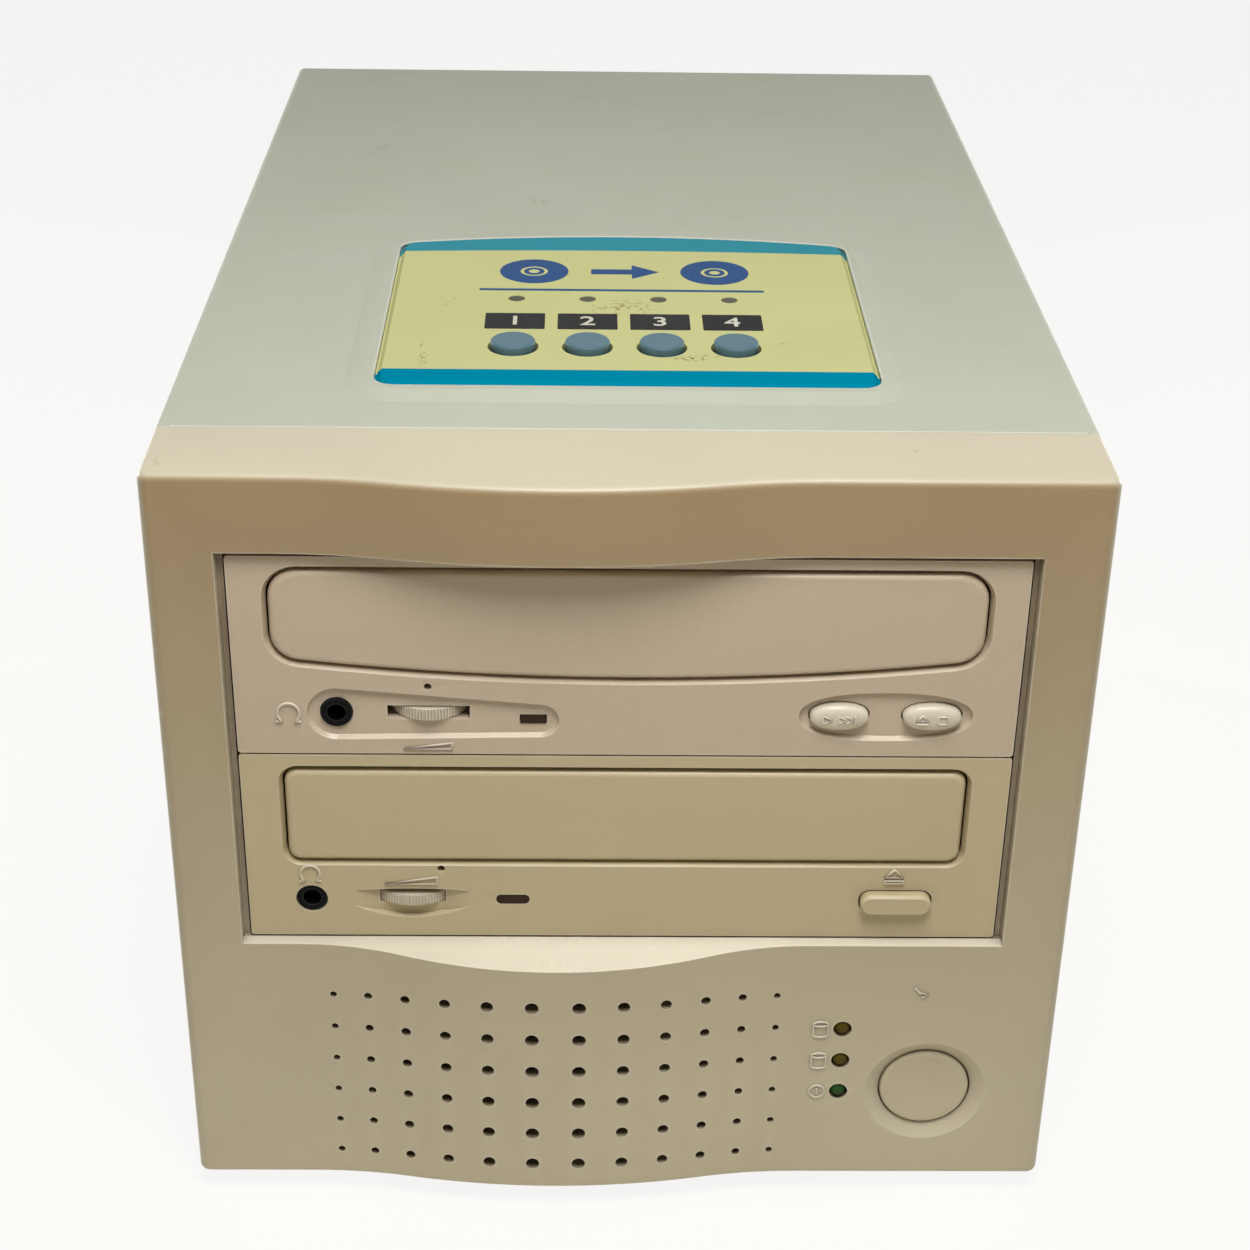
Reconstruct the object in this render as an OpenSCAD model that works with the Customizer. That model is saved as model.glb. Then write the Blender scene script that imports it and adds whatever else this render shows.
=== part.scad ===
// Two-drive disc duplicator tower: a moulded bezel with an off-centre swell, a
// steel wrap-over cover with a raised keypad, a reader above a writer, and the
// frame, boards, power supply and fan that they need. X is right, Y is back.

/* [Case] */
// Width across the bezel and the cover
case_w = 177; // [170:0.5:195]
// Height of the bezel, from its lower edge to its top
bezel_h = 162; // [158:0.5:185]
// Depth from the flat of the bezel to the rear edge of the cover
case_d = 268; // [255:1:320]
// Height of the bezel's lower edge above the table
ground_gap = 5; // [3:0.5:12]
// Depth of the bezel from its flat to the seam with the cover
bezel_d = 21.2; // [19:0.2:28]
// Wall of the moulded bezel
bezel_wall = 2.6; // [2.2:0.1:3.4]
// Radius on the outer edges of the bezel and the cover
edge_r = 1.6; // [1.2:0.1:3]
// Thickness of the steel sheets
sheet = 1; // [0.8:0.1:1.4]
// Clearance between sheets that lie side by side
sheet_gap = 0.2; // [0.1:0.05:0.4]
// Width of the cover's lip round the rear panel
lip_w = 9; // [8:0.5:12]
// Height of the floor pan above the bezel's lower edge
pan_lift = 1; // [0.5:0.1:2]
// Diameter of a rubber foot
foot_d = 18; // [12:0.5:24]

/* [Front swell] */
// Centre of the swell to the right of the middle
bulge_x = -13.5; // [-20:0.5:0]
// Width of the swell
bulge_w = 101; // [80:1:115]
// How far the swell stands out
bulge_out = 4.8; // [3:0.1:7]
// Width of the hollow blend at each side of the swell
bulge_blend = 20; // [14:0.5:26]

/* [Drive bay] */
// Width of a drive face
face_w = 148; // [146:0.5:150]
// Height of a drive face
face_h = 42; // [41:0.1:43]
// Height from one drive to the next
drive_pitch = 42.4; // [42.2:0.1:44]
// Height of the case above the upper drive face
head_h = 16.8; // [15.5:0.1:20]
// Depth of the drive faces behind the flat of the bezel
face_inset = 1.4; // [1:0.1:2.4]
// Gap under the lower drive face, and beside both faces behind the step
bay_gap = 0.4; // [0.3:0.05:0.8]
// Gap at each side of the drive faces
bay_side = 1.4; // [0.4:0.1:2]
// Gap above the upper drive face
bay_gap_top = 1.2; // [0.6:0.1:1.8]
// Depth of the step at the sides of the bay, behind the drive faces
bay_step = 0.8; // [0.4:0.1:2]
// Width of the bevel at the sides of the bay
bay_bevel = 0.3; // [0.2:0.1:1.6]
// Slope of the sill under the drives, in degrees
sill_slope = 34; // [25:1:40]

/* [Vents, lamps and power button] */
// Vent columns on each side of the swell's middle
vent_half = 6; // [3:1:6]
// Vent rows
vent_rows = 6; // [3:1:6]
// Pitch of the two middle vent columns
vent_pitch = 9.5; // [9:0.1:9.8]
// How much each pitch shrinks towards the sides
vent_shrink = 0.5; // [0.3:0.05:0.6]
// Pitch of the vent rows
vent_row_pitch = 8.05; // [7:0.05:8.5]
// Height of the lowest vent row above the bezel's lower edge
vent_low = 6.9; // [6:0.1:9]
// Diameter of the middle vents
vent_d = 2.8; // [2:0.1:4]
// How much each vent column shrinks towards the sides
vent_step = 0.28; // [0.1:0.02:0.3]
// Lamps to the left of the power button
lamp_side = 18; // [17:0.5:20]
// Pitch of the lamps
lamp_pitch = 8.05; // [7:0.05:9]
// Height of the lowest lamp and the power button above the bezel's lower edge
lamp_low = 22.5; // [20:0.5:26]
// Diameter of a lamp
lamp_d = 3.5; // [2.8:0.1:3.8]
// Power button in from the right side of the case
power_side = 25.5; // [23:0.5:28]
// Diameter of the power button
power_d = 18.5; // [16:0.1:20]
// Diameter of the dished well round the power button
dish_d = 25; // [23:0.1:27]
// Depth of the dished well
dish_depth = 1.8; // [1:0.1:2]
// Travel of the power button
power_travel = 2.5; // [1.5:0.1:2.8]
// Running clearance round buttons, wheels and lamps
press_gap = 0.3; // [0.2:0.05:0.5]

/* [Keypad] */
// Width of the keypad plate
panel_w = 98; // [92:0.5:104]
// Depth of the keypad plate
panel_d = 81.5; // [76:0.5:90]
// How far the plate's rear edge bows out in its middle
panel_bow = 4.5; // [1:0.5:6]
// Front edge of the keypad plate behind the flat of the bezel
panel_set = 39.8; // [37:0.2:50]
// Corner radius of the keypad plate
panel_r = 4; // [2:0.5:6]
// Width of the raised plinth round the keypad plate
plinth_w = 6.2; // [5:0.1:9]
// Height of the raised plinth
plinth_h = 1.2; // [0.4:0.1:1.6]
// Height of the keypad plate above the plinth
panel_proud = 0.3; // [0.1:0.1:1]
// Gap between the keypad plate and its window
panel_gap = 0.4; // [0.2:0.1:0.8]
// Diameter of a keypad button
key_d = 9; // [8:0.1:10.5]
// Clearance round a keypad button
key_gap = 0.6; // [0.3:0.05:0.9]
// Pitch of the keypad buttons and lamps
key_pitch = 14.9; // [14:0.1:16]
// Shift of the keypad buttons and lamps to the right of the middle
key_shift = -0.5; // [-1:0.1:1]
// Keypad buttons behind the plate's front edge
key_set = 18.9; // [15:0.1:22]
// Height of a keypad button above the plate
key_out = 1.6; // [1.2:0.1:3]
// Travel of a keypad button
key_travel = 1; // [0.5:0.1:1.1]
// Keypad lamps behind the plate's front edge
dot_set = 46; // [42:0.5:50]
// Diameter of a keypad lamp
dot_d = 3.2; // [2.6:0.1:4]

/* [Drives] */
// Length of a drive from its face
drive_l = 190; // [180:1:200]
// Width of a drive case
drive_w = 146; // [145:0.2:146.2]
// Wall of a drive case
case_t = 1; // [0.6:0.1:1.2]
// Depth of a drive face moulding
face_d = 6; // [5:0.2:8]
// Front wall of a drive face
face_t = 2.2; // [1.8:0.1:2.6]
// Depth of the recesses in the drive faces
recess = 0.9; // [0.5:0.1:1]
// Gap between a tray door and its opening
door_gap = 0.4; // [0.3:0.05:1]
// Travel of a disc tray
tray_travel = 135; // [120:1:136]
// Length of a disc tray that stays inside when it is out
tray_hold = 23; // [23:0.5:27]
// Width of a disc tray
tray_w = 125; // [124:0.5:126]
// Height of the underside of a tray above the foot of its drive
tray_z = 23; // [22.6:0.1:24]
// Thickness of a disc tray
tray_t = 6.2; // [5.6:0.1:7]
// Diameter of the disc well
well_d = 121; // [120.6:0.1:122]
// Diameter of the upper drive's volume wheel
read_wheel_d = 15.4; // [14.6:0.2:16]
// Diameter of the lower drive's volume wheel
write_wheel_d = 19.6; // [18:0.2:19.8]
// Thickness of a volume wheel
wheel_t = 2.2; // [1.8:0.1:2.3]
// Height of the jacks, wheels and buttons above the foot of their drive
control_z = 8.7; // [8.4:0.1:9.2]
// Bore of a headphone jack
jack_bore = 3.6; // [3.5:0.05:3.8]
// Depth of a headphone jack's bore
jack_l = 14; // [12:0.5:15]
// Travel of a drive button
button_travel = 1; // [0.5:0.1:1.2]

/* [Power supply and fan] */
// Width of the power supply
supply_w = 100; // [80:1:130]
// Height of the power supply
supply_h = 42; // [40:0.5:46]
// Length of the power supply
supply_l = 130; // [100:1:140]
// Side of the fan frame
fan_w = 80; // [70:1:82]
// Depth of the fan frame
fan_d = 25; // [20:0.5:28]
// Pitch of the fan's screw holes
fan_holes = 71.5; // [60:0.5:72]
// Wire of the fan guard
wire_d = 1.6; // [1.2:0.1:2]
// Width of the mains inlet's socket
inlet_w = 24.4; // [24:0.1:25]
// Height of the mains inlet's socket
inlet_h = 16.6; // [16:0.1:17.5]
// Depth of the mains inlet's socket
inlet_l = 16.5; // [15:0.5:18]

/* [Hidden] */
$fn = 48;

// Colours of the object
ivory = [0.83, 0.80, 0.70];
grey_paint = [0.74, 0.74, 0.68];
pink_grey = [0.78, 0.74, 0.69];
pale_button = [0.90, 0.88, 0.82];
zinc = [0.72, 0.73, 0.74];
board_green = [0.12, 0.36, 0.20];
black = [0.07, 0.07, 0.07];
brass = [0.80, 0.64, 0.30];

// Overlap that makes two fused shapes one, and the depth past a cut's faces
fuse = 0.4;
past = 1;

// Screws: shank, head and the clearance of their holes
screw_d = 3;
head_d = 5.8;
head_t = 2;
screw_gap = 0.15;
cover_screw_l = 6;
fan_screw_l = 12;

// Levels and depths of the case
z_bez = ground_gap;
z_top = z_bez + bezel_h;
z_pan = z_bez + pan_lift;
z_floor = z_pan + sheet;
inlet_flange = 2.4;
guard_back = max(wire_d + head_t, 2 * wire_d, inlet_flange) - sheet - sheet_gap;
rear_out = max(head_t, guard_back);
total_d = bulge_out + case_d + rear_out;
y_flat = bulge_out - total_d / 2;
y_seam = y_flat + bezel_d;
y_back = y_flat + case_d;
y_face = y_flat + face_inset;
y_rear = y_back - sheet - sheet_gap;
y_rear_in = y_rear - sheet;
inner_w = case_w - 2 * (sheet + sheet_gap);
er = min(edge_r, bezel_wall - 0.2);
cover_in_r = max(edge_r - sheet, 0.2);

// Levels of the two drives and of the bay
z_read = z_top - head_h - face_h;
z_write = z_read - drive_pitch;
z_bay0 = z_write - bay_gap;
z_bay1 = z_read + face_h + bay_gap_top;
bay_w = face_w + 2 * bay_side;
upper_lip = 3;
sill_block = 7.5;
lip_reach = 12;

// Swell: one round arc between two hollow arcs, all meeting at the same slope
swell_angle = 2 * atan(bulge_out / (bulge_w / 2));
r_round = (bulge_w / 2 - bulge_blend) / sin(swell_angle);
r_hollow = bulge_blend / sin(swell_angle);
plan_r = er + 0.6;

// Lamps, power button and the board behind them
power_x = case_w / 2 - power_side;
lamp_x = power_x - lamp_side;
lamp_out = 0.3;
z_lamp = z_bez + lamp_low;
power_hole = power_d + 2 * press_gap;
collar_t = 1.6;
collar_l = 6;
power_in = 1.1;
flange_t = 1.2;
board_t = 1.6;
stem_d = 5;
switch_w = 13;
switch_l = 1.7 + power_travel;
y_board = y_seam - 6;
board_x0 = lamp_x - 8;
board_x1 = power_x + 16;
board_z0 = z_lamp - 12;
board_z1 = z_lamp + 2 * lamp_pitch + 6;
post_d = 5;
post_in = 3;
tongue_t = 1.6;
tongue_l = 5;
tongue_end = 20;

// Keypad levels, from the plinth down to the board under it
y_panel = y_flat + panel_set;
z_plinth = z_top + plinth_h;
z_panel = z_plinth + panel_proud;
z_under = z_plinth - sheet;
panel_flange = 2;
plateau = panel_gap + 2 * sheet;
panel_rim = plateau - sheet_gap;
z_plate_low = z_under - panel_flange;
post_h = 6;
z_cboard = z_plate_low - post_h;
key_skirt = 1.4;
key_skirt_t = 1;
cboard_in = 3;

// Drive layout, measured from the drive's face and its foot
case_z0 = 0.5;
case_z1 = face_h - 0.8;
y_case = y_face + face_d;
y_end = y_face + drive_l;
door_t = 3.4;
y_tray = y_face + door_t;
tray_l = tray_travel + tray_hold;
disc_set = 70;
y_disc = y_face + disc_set;
run_gap = 0.3;
runner_w = 2;
runner_h = 2;
runner_z = 2.2;
rail_x0 = tray_w / 2 + run_gap;
rail_x1 = drive_w / 2 - case_t - run_gap;
deck_z = 5;
deck_t = 2;
deck_y0 = y_face + 17;
deck_y1 = y_end - 14;
pin_d = 3;
pin_gap = 0.15;

// Rack and loading gear, with a module of 1 mm and straight rack flanks
gear_m = 1;
gear_teeth = 18;
gear_r = gear_m * gear_teeth / 2;
gear_t = 2.6;
pressure = 20;
backlash = 0.16;
rack_x = -50;
rack_h = 3.2;
rack_back = 3;
gear_margin = 4;
gear_x = rack_x + gear_r;
gear_y = y_tray + tray_hold - gear_margin;
gear_z = tray_z - run_gap - gear_t;

// Pickup rods and sled
rod_x = 24;
rod_z = 12;
rod_start = 14;
rod_end = 86;
sled_l = 26;
sled_set = 19;

// Controls on the two faces: place to the right of the middle
read_jack_x = -55;
read_wheel_x = -37.6;
read_window_w = 15.6;
read_lamp_x = -17.8;
read_play_x = 40.2;
read_eject_x = 57.9;
write_jack_x = -61.6;
write_wheel_x = -41.8;
write_window_w = 11.7;
write_lamp_x = -22;
write_eject_x = 53.7;
window_gap = 0.4;
read_wheel_out = 1.4;
write_wheel_out = 1.65;
jack_d = 6;
jack_body = 9;
oval_w = 11.2;
oval_h = 5.4;
pill_w = 14;
pill_h = 4.6;
key_board_y = 13;
stem_l = key_board_y - button_travel - 0.3;
emergency_d = 1.5;

// Cable runs behind the drives
cable_y = y_end + 14;
ribbon_w = 50;
ribbon_x = -28;
ribbon_t = 1;
lead_x = 42;
lead_w = 9;
lead_t = 2.4;
plug_h = 8;
socket_z = 8.3;

// Fan and mains inlet on the rear panel
fan_z = z_read - 1;
fan_bore = fan_w - 4;
hub_d = 30;
blade_count = 7;
blade_gap = 1;
ring_r = 10;
ring_pitch = 8;
inlet_x = -22;
inlet_z = z_floor + supply_h / 2;
inlet_wall = 2;
blade_pitch = 14;

// Shared shapes

// Sheet outline with two round upper corners, in the XZ plane
module arch(w, z0, z1, r) {
  translate([-w / 2, z0]) square([w, z1 - z0 - r]);
  translate([-w / 2 + r, z0]) square([w - 2 * r, z1 - z0]);
  for (s = [-1, 1])
    translate([s * (w / 2 - r), z1 - r]) circle(r);
}

// Rectangle with four round corners, centred
module round_rect(w, h, r) {
  square([w - 2 * r, h], center = true);
  square([w, h - 2 * r], center = true);
  for (x = [-1, 1])
    for (y = [-1, 1])
      translate([x * (w / 2 - r), y * (h / 2 - r)]) circle(r);
}

// Turns an outline drawn in X and Z so that its depth runs back along Y
module upright(y0, depth) {
  translate([0, y0 + depth, 0]) rotate([90, 0, 0]) linear_extrude(depth) children();
}

// Round bar along Y
module bar_y(x, z, y0, y1, d) {
  translate([x, y0, z]) rotate([-90, 0, 0]) cylinder(d = d, h = y1 - y0);
}

// Box from two corners
module block(x0, x1, y0, y1, z0, z1) {
  translate([x0, y0, z0]) cube([x1 - x0, y1 - y0, z1 - z0]);
}

// Points along a round arc
function arc_points(cx, cz, r, a0, a1, n) =
  [for (i = [0 : n]) [cx + r * cos(a0 + (a1 - a0) * i / n), cz + r * sin(a0 + (a1 - a0) * i / n)]];

// Oval of the upper drive's buttons; a bend below 1 makes its ends fuller
function oval_points(w, h, n, bend) =
  [for (i = [0 : n - 1])
    let (a = 360 * i / n, c = cos(a), s = sin(a))
    [w / 2 * sign(c) * pow(abs(c), bend), h / 2 * sign(s) * pow(abs(s), bend)]];

// Two circles joined by their outer tangents
module tear(x0, z0, r0, x1, z1, r1) {
  run = norm([x1 - x0, z1 - z0]);
  turn = atan2(z1 - z0, x1 - x0);
  lean = acos((r0 - r1) / run);
  translate([x0, z0]) circle(r0);
  translate([x1, z1]) circle(r1);
  polygon([
    [x0, z0] + r0 * [cos(turn + lean), sin(turn + lean)],
    [x1, z1] + r1 * [cos(turn + lean), sin(turn + lean)],
    [x1, z1] + r1 * [cos(turn - lean), sin(turn - lean)],
    [x0, z0] + r0 * [cos(turn - lean), sin(turn - lean)]
  ]);
}

// Pan-head screw along Y with its head at the back of y
module rear_screw(x, z, y, length) {
  bar_y(x, z, y - length, y + fuse, screw_d);
  translate([x, y, z]) rotate([-90, 0, 0])
    rotate_extrude() intersection() {
      translate([0, head_t - head_d]) circle(head_d);
      square([head_d / 2, head_t]);
    }
}

// Case

// Plan of the bezel, drawn in by inset: two sides, round corners, flats and the swell
function plan_points(inset, rear) =
  let (
    x1 = case_w / 2,
    rc = max(plan_r - inset, 0.2),
    cx = x1 - inset - rc,
    cy = y_flat + inset + rc,
    side = bulge_w / 2,
    a = swell_angle
  )
  concat(
    [[inset - x1, rear]],
    arc_points(-cx, cy, rc, 180, 270, 6),
    arc_points(bulge_x - side, y_flat - r_hollow, r_hollow + inset, 90, 90 - a, 8),
    [for (i = [1 : 23])
      let (b = 270 - a + 2 * a * i / 24)
      [bulge_x + (r_round - inset) * cos(b), y_flat - bulge_out + r_round + (r_round - inset) * sin(b)]],
    arc_points(bulge_x + side, y_flat - r_hollow, r_hollow + inset, 90 + a, 90, 8),
    arc_points(cx, cy, rc, 270, 360, 6),
    [[x1 - inset, rear]]
  );

// Outer skin of the bezel: one ring of that plan for each step of its rounded edges
module bezel_skin() {
  steps = 5;
  rings = concat(
    [for (i = [0 : steps]) let (a = 90 - 90 * i / steps) [er * (1 - cos(a)), z_bez + er * (1 - sin(a))]],
    [for (i = [0 : steps]) let (a = 90 * i / steps) [er * (1 - cos(a)), z_top - er * (1 - sin(a))]]
  );
  count = len(plan_points(0, y_seam));
  last = len(rings) - 1;
  polyhedron(
    points = [for (r = rings) for (p = plan_points(r[0], y_seam)) [p[0], p[1], r[1]]],
    faces = concat(
      [[for (i = [0 : count - 1]) i]],
      [[for (i = [count - 1 : -1 : 0]) last * count + i]],
      [for (k = [0 : last - 1])
        for (i = [0 : count - 1])
          let (j = (i + 1) % count)
          [k * count + i, (k + 1) * count + i, (k + 1) * count + j, k * count + j]]
    )
  );
}

// Slab of the bezel's plan, for the hollow and for the lip and sill of the bay
module plan_slab(inset, rear, z0, z1) {
  translate([0, 0, z0]) linear_extrude(z1 - z0) polygon(plan_points(inset, rear));
}

module bezel_shell() {
  difference() {
    bezel_skin();
    plan_slab(bezel_wall, y_seam + past, z_bez + bezel_wall, z_top - bezel_wall);
  }
  plan_slab(bezel_wall / 2, y_flat + lip_reach, z_bay1, z_bay1 + upper_lip);
  plan_slab(bezel_wall / 2, y_flat + lip_reach, z_bay0 - sill_block, z_bay0);
}

// Tongues that tuck inside the cover and over the floor pan
module bezel_tongues() {
  y0 = y_seam - bezel_wall;
  y1 = y_seam + tongue_l;
  x1 = inner_w / 2;
  zt = z_top - sheet - sheet_gap;
  end = tongue_end;
  block(end - x1, x1 - end, y0, y1, zt - tongue_t, zt);
  block(end - x1, x1 - end, y0, y1, z_floor + sheet_gap, z_floor + sheet_gap + tongue_t);
  for (side = [0, 1])
    mirror([side, 0, 0]) block(x1 - tongue_t, x1, y0, y1, z_floor + end, z_top - end);
}

// Collar of the power button, posts of the front board and cheeks of the bay
module bezel_inside() {
  bar_y(power_x, z_lamp, y_flat + fuse, y_flat + collar_l, power_hole + 2 * collar_t);
  for (x = [board_x0 + post_in, board_x1 - post_in])
    for (z = [board_z0 + post_in, board_z1 - post_in])
      bar_y(x, z, y_flat + bezel_wall - fuse, y_board, post_d);
  for (side = [0, 1])
    mirror([side, 0, 0])
      block(face_w / 2 + bay_gap, bay_w / 2 + bezel_wall, y_flat + fuse, y_flat + lip_reach,
        z_bay0 - fuse, z_bay1 + fuse);
}

// Bay opening with bevelled sides and a sill that slopes down to the front
module bay_cut() {
  y0 = y_flat - bulge_out - past;
  drop = (y_face - y0) * tan(sill_slope);
  block(-bay_w / 2, bay_w / 2, y0, y_face + bay_step, z_bay0, z_bay1);
  block(-face_w / 2 - bay_gap, face_w / 2 + bay_gap, y0, y_seam, z_bay0, z_bay1);
  translate([-bay_w / 2 - bay_bevel, 0, 0]) rotate([90, 0, 90])
    linear_extrude(bay_w + 2 * bay_bevel)
      polygon([[y_face, z_bay0], [y0, z_bay0 - drop], [y0, z_bay0 + past], [y_face, z_bay0 + past]]);
  for (side = [0, 1])
    mirror([side, 0, 0]) translate([0, 0, z_bay0]) linear_extrude(z_bay1 - z_bay0)
      polygon([
        [bay_w / 2 - past, y_face], [bay_w / 2, y_face],
        [bay_w / 2 + bay_bevel, y_flat], [bay_w / 2 + bay_bevel, y0], [bay_w / 2 - past, y0]
      ]);
}

// Place of a vent column: pitches shrink evenly away from the middle
function vent_x(k) = vent_pitch / 2 + k * (vent_pitch - vent_shrink) - vent_shrink * k * (k - 1) / 2;

module vent_cut() {
  for (side = [-1, 1])
    for (k = [0 : vent_half - 1])
      for (row = [0 : vent_rows - 1])
        bar_y(bulge_x + side * vent_x(k), z_bez + vent_low + row * vent_row_pitch,
          y_flat - bulge_out - past, y_flat + bezel_wall + past, vent_d - k * vent_step);
}

module front_bezel() {
  color(ivory) difference() {
    union() {
      bezel_shell();
      bezel_tongues();
      bezel_inside();
    }
    bay_cut();
    vent_cut();
    for (k = [0 : 2])
      bar_y(lamp_x, z_lamp + k * lamp_pitch, y_flat - past, y_flat + bezel_wall + past,
        lamp_d + press_gap);
    bar_y(power_x, z_lamp, y_flat - past, y_flat + collar_l + past, power_hole);
    translate([power_x, y_flat, z_lamp]) rotate([-90, 0, 0])
      cylinder(d1 = dish_d, d2 = power_hole, h = dish_depth);
  }
}

// Outline of the keypad plate, drawn out by grow: round corners and a bowed rear edge
function pad_points(grow, r) =
  let (
    cx = panel_w / 2 + grow - r,
    cy = panel_d / 2 + grow - r,
    lean = atan(2 * panel_bow / cx),
    x1 = cx + r * sin(lean),
    y1 = cy + r * cos(lean)
  )
  concat(
    arc_points(-cx, -cy, r, 180, 270, 8),
    arc_points(cx, -cy, r, 270, 360, 8),
    arc_points(cx, cy, r, 0, 90 - lean, 8),
    [for (i = [1 : 15]) let (t = 1 - i / 8) [x1 * t, y1 + panel_bow * (1 - t * t)]],
    arc_points(-cx, cy, r, 90 + lean, 180, 8)
  );

// Plate of that outline, lying flat
module pad(grow, z, h, r) {
  translate([0, y_panel + panel_d / 2, z]) linear_extrude(h) polygon(pad_points(grow, r));
}

// Raised plinth, its flanks sloping up to the window
module plinth(drop) {
  hull() {
    pad(plinth_w, z_top - sheet - drop, sheet, panel_r + plinth_w);
    pad(plateau, z_plinth - fuse - drop, fuse, panel_r + plateau);
  }
}

module cover_hole(x, z) {
  bar_y(x, z, y_rear_in - past, y_back + past, screw_d + 2 * screw_gap);
}

// Screw places on the cover's lip: two on each side and two along the top
function cover_spots() =
  let (x = case_w / 2 - lip_w / 2 - sheet / 2, zt = z_top - lip_w / 2 - sheet / 2)
  [[-x, z_floor + 30], [x, z_floor + 30], [-x, z_top - 34], [x, z_top - 34], [-46, zt], [46, zt]];

module top_cover() {
  color(grey_paint) difference() {
    union() {
      upright(y_seam, y_back - y_seam) difference() {
        arch(case_w, z_pan, z_top, edge_r);
        translate([0, -past]) arch(case_w - 2 * sheet, z_pan, z_top - sheet + past, cover_in_r);
      }
      upright(y_back - sheet, sheet) difference() {
        arch(case_w, z_pan, z_top, edge_r);
        translate([0, -past])
          arch(case_w - 2 * lip_w, z_pan, z_top - lip_w + past, cover_in_r);
      }
      plinth(0);
    }
    plinth(sheet);
    pad(panel_gap, z_top - 2 * sheet, 4 * sheet, panel_r);
    for (p = cover_spots())
      cover_hole(p[0], p[1]);
  }
}

module base_pan() {
  x1 = inner_w / 2;
  side_h = 14;
  slot_l = 34;
  slot_w = 4;
  color(zinc) difference() {
    union() {
      block(-x1, x1, y_seam, y_rear, z_pan, z_floor);
      for (side = [0, 1])
        mirror([side, 0, 0])
          block(x1 - sheet, x1, y_seam + tongue_l + past, y_rear_in - past, z_pan, z_floor + side_h);
    }
    for (row = [-1, 1])
      for (k = [-3 : 3])
        translate([row * (slot_l / 2 + 4), y_seam + 62 + k * 2.5 * slot_w, z_pan - past])
          linear_extrude(sheet + 2 * past) round_rect(slot_l, slot_w, slot_w / 2 - 0.1);
  }
}

module rear_panel() {
  flange = 12;
  color(grey_paint) difference() {
    union() {
      upright(y_rear_in, sheet) arch(inner_w, z_floor, z_top - sheet - sheet_gap, cover_in_r);
      block(lip_w - inner_w / 2, inner_w / 2 - lip_w, y_rear_in - flange, y_rear_in + fuse,
        z_floor, z_floor + sheet);
    }
    block(-supply_w / 2 - past, supply_w / 2 + past, y_rear_in - flange - past, y_rear_in,
      z_floor - past, z_floor + sheet + past);
    bar_y(0, fan_z, y_rear_in - past, y_rear + past, fan_bore);
    for (p = fan_spots())
      bar_y(p[0], p[1], y_rear_in - past, y_rear + past, screw_d + 2 * screw_gap);
    for (p = cover_spots())
      cover_hole(p[0], p[1]);
    upright(y_rear_in - past, sheet + 2 * past) translate([inlet_x, inlet_z])
      square([inlet_w + 2 * inlet_wall + 2 * screw_gap, inlet_h + 2 * inlet_wall + 2 * screw_gap],
        center = true);
  }
}

// Screw places of the drives: standard heights and depths of this drive size
function drive_spots() =
  [for (z = [z_read, z_write]) for (y = [52.3, 131.5]) [y_face + y, z + 10.2]];

module bay_plates() {
  x0 = drive_w / 2 + sheet_gap;
  y0 = y_seam + tongue_l + past;
  y1 = y_face + drive_l - 15;
  foot = 8;
  z1 = z_read + face_h - 4;
  vent = 24;
  color(zinc)
    for (side = [0, 1])
      mirror([side, 0, 0]) difference() {
        union() {
          block(x0, x0 + sheet, y0, y1, z_floor, z1);
          block(x0, x0 + foot, y0, y1, z_floor, z_floor + sheet);
          block(x0, x0 + foot, y0, y0 + sheet, z_floor, z1);
        }
        for (p = drive_spots())
          translate([x0 - past, p[0], p[1]]) rotate([0, 90, 0])
            cylinder(d = screw_d + 2 * screw_gap, h = sheet + 2 * past);
        for (k = [0 : 3])
          translate([x0 - past, y0 + 28 + k * 1.35 * vent, z_write / 2 + z_floor / 2])
            rotate([0, 90, 0]) cylinder(d = vent, h = sheet + 2 * past);
      }
}

module drive_screws() {
  x0 = drive_w / 2 + sheet_gap + sheet;
  reach = sheet + sheet_gap + case_t + run_gap / 2;
  color(zinc)
    for (side = [0, 1])
      mirror([side, 0, 0])
        for (p = drive_spots())
          translate([x0, 0, p[1]]) rotate([0, 0, -90]) rear_screw(-p[0], 0, 0, reach);
}

module rubber_feet() {
  inset = 22;
  top_d = foot_d * 0.85;
  color(black)
    for (x = [-1, 1])
      for (y = [y_seam + inset, y_rear - inset])
        translate([x * (case_w / 2 - inset), y, 0]) {
          cylinder(d = foot_d, h = z_pan / 2);
          translate([0, 0, z_pan / 2]) cylinder(d1 = foot_d, d2 = top_d, h = z_pan / 2);
        }
}

module cover_screws() {
  color(zinc)
    for (p = cover_spots())
      rear_screw(p[0], p[1], y_back, cover_screw_l);
}

// Front controls

module power_button() {
  front = y_flat + power_in;
  cap_l = collar_l - power_in;
  r = power_d / 2;
  soft = 0.8;
  y_flange = y_flat + collar_l + press_gap;
  hollow = 0.4;
  hollow_r = (pow(r - 2 * soft, 2) + pow(hollow, 2)) / (2 * hollow);
  color(ivory) {
    difference() {
      translate([power_x, front, z_lamp]) rotate([-90, 0, 0]) rotate_extrude() {
        translate([0, soft]) square([r, cap_l + press_gap - soft + fuse]);
        square([r - soft, cap_l]);
        translate([r - soft, soft]) circle(soft);
      }
      translate([power_x, front + hollow - hollow_r, z_lamp]) sphere(hollow_r);
    }
    bar_y(power_x, z_lamp, y_flange, y_flange + flange_t, power_hole + 2);
    bar_y(power_x, z_lamp, y_flange, y_board - switch_l + past, stem_d);
  }
}

module power_switch() {
  color(black) difference() {
    block(power_x - switch_w / 2, power_x + switch_w / 2, y_board - switch_l, y_board,
      z_lamp - switch_w / 2, z_lamp + switch_w / 2);
    bar_y(power_x, z_lamp, y_board - switch_l - past, y_board + past, stem_d + 2 * press_gap);
  }
}

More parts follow.
